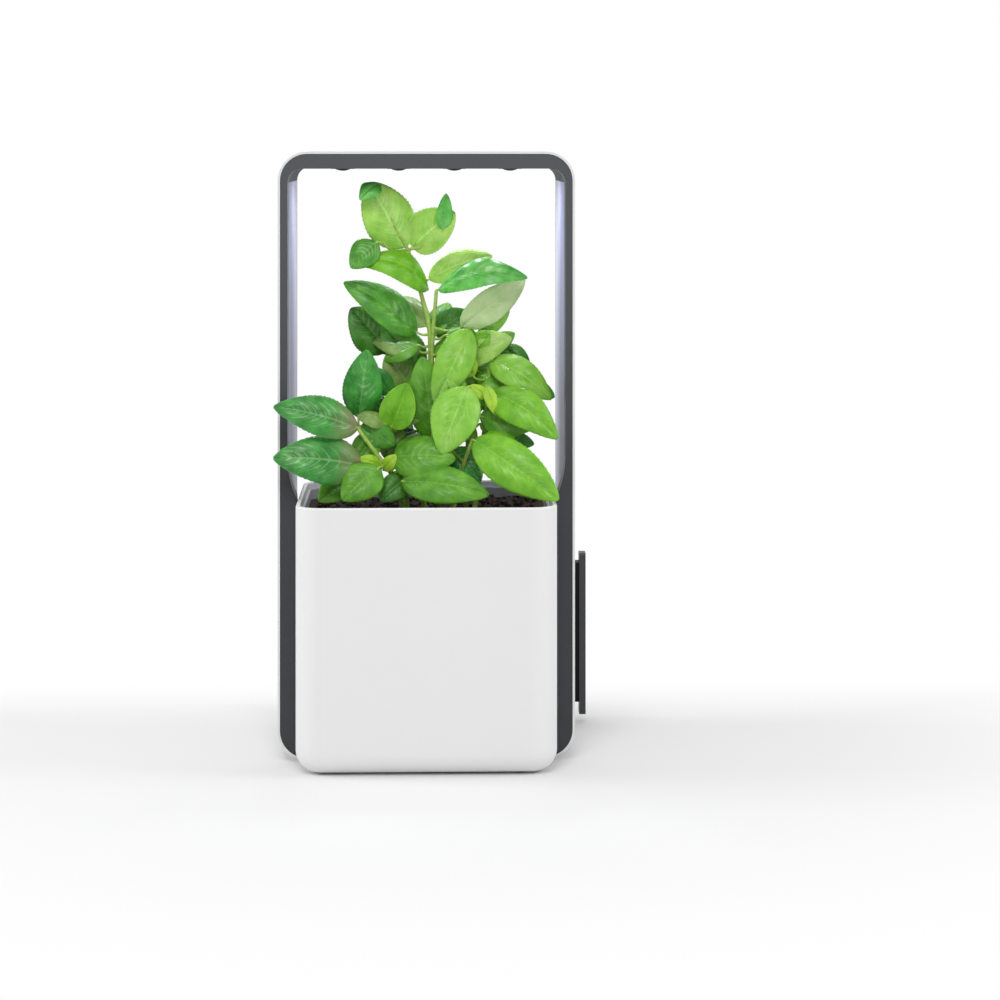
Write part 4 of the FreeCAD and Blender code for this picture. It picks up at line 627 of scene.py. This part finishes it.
def stand(name, mesh, body, material):
    """Put a new piece in the scene, on its body, with a material."""
    piece = bpy.data.objects.new(name, mesh)
    bpy.context.scene.collection.objects.link(piece)
    if material:
        piece.data.materials.append(material)
    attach(piece, body)
    return piece


def stand_leaf(name, mesh, tone):
    leaf = stand(name, mesh, "planter", upper_sides[tone])
    leaf.data.materials.append(under_sides[tone])
    solid = leaf.modifiers.new("thickness", "SOLIDIFY")
    solid.thickness = LEAF_WALL
    solid.offset = 0.0
    solid.material_offset = 1
    return leaf


def build_leaves():
    """Every blade, and the stalk end and tip of each."""
    pieces = []
    ends = {}
    for seed, (name, spec) in enumerate(LEAVES.items()):
        base, tip, width, lean, bow, droop, curl, tone = spec
        mesh = leaf_mesh("leaf_" + name, base, tip, width, facing(0, lean), bow, droop, curl, seed,
                         FULL_CELLS)
        pieces.append(stand_leaf("leaf_" + name, mesh, tone))
        ends[name] = (Vector(base), Vector(tip))
    for index, (base, tip, width, face) in enumerate(fill_leaves()):
        name = "fill_%02d" % index
        mesh = leaf_mesh("leaf_" + name, base, tip, width, face, FILL_BOW, FILL_DROOP, 0.0,
                         len(LEAVES) + index, FILL_CELLS)
        tones = LEFT_TONES if base.x + tip.x < 2 * FILL_MIDDLE else RIGHT_TONES
        pieces.append(stand_leaf("leaf_" + name, mesh, tones[index % len(tones)]))
        ends[name] = (base, tip)
    return pieces, ends


def stem_material():
    shader = Shader("stem_skin")
    streak = shader.noise(300.0, 4.0, 0.6)
    broad = shader.noise(40.0, 2.0)
    fresh = shader.mix(shader.ramp(streak, 0.35, 0.65), (0.26, 0.46, 0.06), (0.46, 0.64, 0.14))
    shader.colour(shader.mix(shader.ramp(broad, 0.55, 0.8), fresh, (0.30, 0.34, 0.10)))
    shader.uneven_gloss(streak, 0.4, 0.55)
    shader.bump(streak, 0.0004)
    shader.set("Subsurface Weight", 0.1)
    shader.set("Subsurface Radius", (0.3, 0.6, 0.1))
    shader.set("Subsurface Scale", 0.002)
    return shader.material


def tube_piece(name, points, radii, material):
    """A smooth tapering tube through places given in millimetres."""
    curve = bpy.data.curves.new(name, "CURVE")
    curve.dimensions = "3D"
    curve.bevel_depth = MM
    curve.bevel_resolution = 4
    curve.resolution_u = 8
    curve.use_fill_caps = True
    line = curve.splines.new("BEZIER")
    line.bezier_points.add(len(points) - 1)
    for knot, place, radius in zip(line.bezier_points, points, radii):
        knot.co = Vector(place) * MM
        knot.radius = radius
        knot.handle_left_type = "AUTO"
        knot.handle_right_type = "AUTO"
    curve.materials.append(material)
    holder = bpy.data.objects.new(name + "_line", curve)
    mesh = bpy.data.meshes.new_from_object(holder)
    bpy.data.objects.remove(holder)
    mesh.name = name
    mesh.shade_smooth()
    return stand(name, mesh, "planter", None)


def build_stems(ends, material):
    for name, points in STEMS.items():
        last = len(points) - 1
        radii = [STEM_RADIUS * (1 - STEM_TAPER * index / last) for index in range(last + 1)]
        tube_piece("stem_" + name, points, radii, material)
    for name, (base, tip) in ends.items():
        start = stalk_start(base)
        stalk = base - start
        if stalk.length < STEM_RADIUS:
            continue
        ahead = base + (tip - base).normalized() * STALK_LAP
        middle = start.lerp(base, 0.5) + Vector((0, 0, -STALK_SAG * stalk.length))
        tube_piece("stalk_" + name, [start, middle, base, ahead],
                   [STALK_RADIUS * share for share in STALK_TAPER], material)


# The growing medium: a lumpy bed with loose crumbs

BED_CORNER = 0.0134
BED_RINGS = 58
BED_CORNER_STEPS = 16
BED_SIDE_STEPS = 44
BED_SINK = 0.0012
BED_MIDDLE = 0.001
BED_CALM = 0.006
BED_LEAST_CORNER = 0.0004
BROAD_WAVE = 0.0009
FINE_WAVE = 0.0006
CRUMBS = 900
CRUMB_SEED = 7
CRUMB_SIZES = (0.0006, 0.0008, 0.0011, 0.0016)
CRUMB_LIFT = 0.3
CRUMB_REACH = (0.94, 0.92)


def bed_height(x, y):
    """Height of the bed above its own middle level, from a few crossed waves."""
    waves = math.sin(x * 210 + 3 * math.sin(y * 90)) * math.cos(y * 230 + 2 * math.sin(x * 130))
    fine = math.sin(x * 900 + 4 * math.sin(y * 510)) * math.sin(y * 870 + 3 * math.sin(x * 640))
    return BROAD_WAVE * waves + FINE_WAVE * fine


def rounded_outline(half_x, half_y, corner):
    """Points round a rounded rectangle, the same number whatever its size."""
    centres = ((1, 1), (-1, 1), (-1, -1), (1, -1))
    points = []
    for index, (side_x, side_y) in enumerate(centres):
        middle = Vector((side_x * (half_x - corner), side_y * (half_y - corner)))
        for step in range(BED_CORNER_STEPS + 1):
            turn = math.radians(90 * (index + step / BED_CORNER_STEPS))
            points.append(middle + Vector((math.cos(turn), math.sin(turn))) * corner)
        after_x, after_y = centres[(index + 1) % 4]
        ahead = math.radians(90 * (index + 1))
        target = Vector((after_x * (half_x - corner), after_y * (half_y - corner)))
        target += Vector((math.cos(ahead), math.sin(ahead))) * corner
        first = points[-1]
        for step in range(1, BED_SIDE_STEPS):
            points.append(first.lerp(target, step / BED_SIDE_STEPS))
    return points


def crumb(dice, place, radius):
    """A small irregular clod: corners of a box pushed about."""
    turn = Matrix.Rotation(dice.uniform(0, math.tau), 3, "Z") @ Matrix.Rotation(dice.uniform(0, 3), 3, "X")
    points = []
    for x in (-1, 1):
        for y in (-1, 1):
            for z in (-1, 1):
                corner = Vector((x, y, z)) * radius * dice.uniform(0.6, 1.1)
                points.append(place + turn @ corner)
    faces = [(0, 1, 3, 2), (4, 6, 7, 5), (0, 4, 5, 1), (2, 3, 7, 6), (0, 2, 6, 4), (1, 5, 7, 3)]
    return points, faces


def build_medium():
    low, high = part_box("growing_medium")
    middle = (low + high) / 2
    half = (high - low) / 2
    level = high.z - BED_SINK
    around = 4 * (BED_CORNER_STEPS + BED_SIDE_STEPS)
    points = []
    faces = []
    deepest = half.y - BED_MIDDLE
    for ring in range(BED_RINGS):
        inset = deepest * ring / (BED_RINGS - 1)
        calm = min(inset / BED_CALM, 1.0)
        corner = max(BED_CORNER - inset, BED_LEAST_CORNER)
        for place in rounded_outline(half.x - inset, half.y - inset, corner):
            height = level + bed_height(place.x, place.y) * calm
            points.append(Vector((middle.x + place.x, middle.y + place.y, height)))
    for place in points[:around]:
        points.append(Vector((place.x, place.y, low.z)))
    base = BED_RINGS * around
    for step in range(around):
        after = (step + 1) % around
        for ring in range(BED_RINGS - 1):
            first = ring * around
            faces.append((first + step, first + after, first + around + after, first + around + step))
        faces.append((base + step, base + after, after, step))
    faces.append(tuple(range((BED_RINGS - 1) * around, BED_RINGS * around)))
    faces.append(tuple(reversed(range(base, base + around))))
    mesh = bpy.data.meshes.new("growing_bed")
    mesh.from_pydata(points, [], faces)
    mesh.shade_smooth()
    soil = fibre("soil", (0.010, 0.006, 0.004), (0.060, 0.036, 0.022), 420.0, 0.0009)
    bed = stand("growing_bed", mesh, "planter", soil)
    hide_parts("growing_medium")
    dice = random.Random(CRUMB_SEED)
    points = []
    faces = []
    for _ in range(CRUMBS):
        px = dice.uniform(-CRUMB_REACH[0], CRUMB_REACH[0]) * half.x
        py = dice.uniform(-CRUMB_REACH[1], CRUMB_REACH[1]) * half.y
        radius = dice.choice(CRUMB_SIZES)
        place = Vector((middle.x + px, middle.y + py, level + bed_height(px, py) + radius * CRUMB_LIFT))
        clod, sides = crumb(dice, place, radius)
        faces.extend(tuple(len(points) + index for index in side) for side in sides)
        points.extend(clod)
    mesh = bpy.data.meshes.new("growing_crumbs")
    mesh.from_pydata(points, [], faces)
    stand("growing_crumbs", mesh, "planter", soil)


leaves, leaf_ends = build_leaves()
build_stems(leaf_ends, stem_material())
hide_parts("basil_plants")
build_medium()


# Floor, light and camera

def background_rays(add, link):
    """One for the camera, mirror and see-through rays that should meet the white background."""
    rays = add("ShaderNodeLightPath")
    seen = rays.outputs["Is Camera Ray"]
    for name in ("Is Glossy Ray", "Is Transmission Ray"):
        either = add("ShaderNodeMath")
        either.operation = "MAXIMUM"
        link(seen, either.inputs[0])
        link(rays.outputs[name], either.inputs[1])
        seen = either.outputs["Value"]
    return seen


WHITE = (1.0, 1.0, 1.0)
FLOOR_GREY = (0.84, 0.84, 0.84)
FLOOR_HALF = 6.0
SHADOW_REACH = 0.22
WHITE_FROM = 0.62
BACK_REACH = 0.02
BACK_WHITE = 0.22


def white_room():
    """A floor that keeps the object's soft shadow and is white elsewhere."""
    mesh = bpy.data.meshes.new("floor")
    corners = [(-1, -1), (1, -1), (1, 1), (-1, 1)]
    mesh.from_pydata([(x * FLOOR_HALF, y * FLOOR_HALF, 0) for x, y in corners], [], [(0, 1, 2, 3)])
    floor = bpy.data.objects.new("floor", mesh)
    bpy.context.scene.collection.objects.link(floor)
    shader = Shader("floor_white")
    shader.colour(FLOOR_GREY)
    shader.rough(0.8)
    glow = shader.add("ShaderNodeEmission")
    glow.inputs["Color"].default_value = (*WHITE, 1.0)
    x, y, _ = shader.split(shader.place)
    away = shader.math("SQRT", shader.math("ADD", shader.math("POWER", x, 2.0),
                                           shader.math("POWER", y, 2.0)))
    far = shader.math("MAXIMUM", shader.ramp(away, SHADOW_REACH, WHITE_FROM, soft=True),
                      shader.ramp(y, BACK_REACH, BACK_WHITE, soft=True))
    share = shader.math("MULTIPLY", background_rays(shader.add, shader.link), far)
    blend = shader.add("ShaderNodeMixShader")
    shader.link(share, blend.inputs["Fac"])
    shader.link(shader.surface.outputs["BSDF"], blend.inputs[1])
    shader.link(glow.outputs["Emission"], blend.inputs[2])
    shader.link(blend.outputs["Shader"], shader.output.inputs["Surface"])
    mesh.materials.append(shader.material)


AMBIENT = 0.55
BACKDROP = 1.0


def world_light():
    world = bpy.data.worlds.new("studio")
    world.use_nodes = True
    tree = world.node_tree
    tree.nodes.clear()
    out = tree.nodes.new("ShaderNodeOutputWorld")
    blend = tree.nodes.new("ShaderNodeMixShader")
    tree.links.new(background_rays(tree.nodes.new, tree.links.new), blend.inputs["Fac"])
    for slot, strength in ((1, AMBIENT), (2, BACKDROP)):
        white = tree.nodes.new("ShaderNodeBackground")
        white.inputs["Color"].default_value = (*WHITE, 1.0)
        white.inputs["Strength"].default_value = strength
        tree.links.new(white.outputs["Background"], blend.inputs[slot])
    tree.links.new(blend.outputs["Shader"], out.inputs["Surface"])
    bpy.context.scene.world = world


def area_light(name, place, target, width, power, colour=WHITE):
    data = bpy.data.lights.new(name, "AREA")
    data.shape = "SQUARE"
    data.size = width
    data.energy = power
    data.color = colour
    lamp = bpy.data.objects.new(name, data)
    lamp.location = place
    lamp.rotation_euler = (Vector(target) - Vector(place)).to_track_quat("-Z", "Y").to_euler()
    bpy.context.scene.collection.objects.link(lamp)


EYE = Vector((0.0, -1.991, 0.433))
FOCAL_PIXELS = 2737.0
PICTURE = 1000.0
SENSOR = 36.0
FAR_END = 50
HORIZON_ROW = 143.0
CENTRE_COLUMN = 426.5


def camera():
    """A level camera: the photograph's uprights are parallel, so its framing comes from shift."""
    data = bpy.data.cameras.new("camera")
    data.sensor_width = SENSOR
    data.lens = FOCAL_PIXELS / PICTURE * SENSOR
    data.shift_y = (HORIZON_ROW - PICTURE / 2) / PICTURE
    data.clip_end = FAR_END
    eye = bpy.data.objects.new("camera", data)
    eye.location = EYE
    yaw = math.atan((PICTURE / 2 - CENTRE_COLUMN) / FOCAL_PIXELS)
    look = Vector((math.sin(yaw), math.cos(yaw), 0.0))
    eye.rotation_euler = look.to_track_quat("-Z", "Y").to_euler()
    bpy.context.scene.collection.objects.link(eye)
    bpy.context.scene.camera = eye


white_room()
world_light()
MIDDLE = (0.0, 0.0, 0.2)
GLOW_HEIGHT = 0.411
GLOW_WIDTH = 0.012
GLOW_POWER = 0.05
GLOW_COLOUR = (0.86, 0.86, 1.0)
area_light("front", (-0.2, -1.8, 1.9), MIDDLE, 1.0, 20.5)
area_light("left", (-1.9, 0.10, 1.0), MIDDLE, 0.6, 11)
area_light("right", (1.9, -0.35, 1.1), MIDDLE, 0.7, 9)
area_light("top", (0.0, 0.2, 2.0), MIDDLE, 0.8, 4)
for place in (-1.5, -0.5, 0.5, 1.5):
    across = place * LENS_PITCH
    area_light("lamp_glow_%+.1f" % place, (across, 0.0, GLOW_HEIGHT), (across, 0.0, MIDDLE[2]), GLOW_WIDTH,
               GLOW_POWER, GLOW_COLOUR)
camera()
bpy.context.scene.view_settings.view_transform = "Standard"
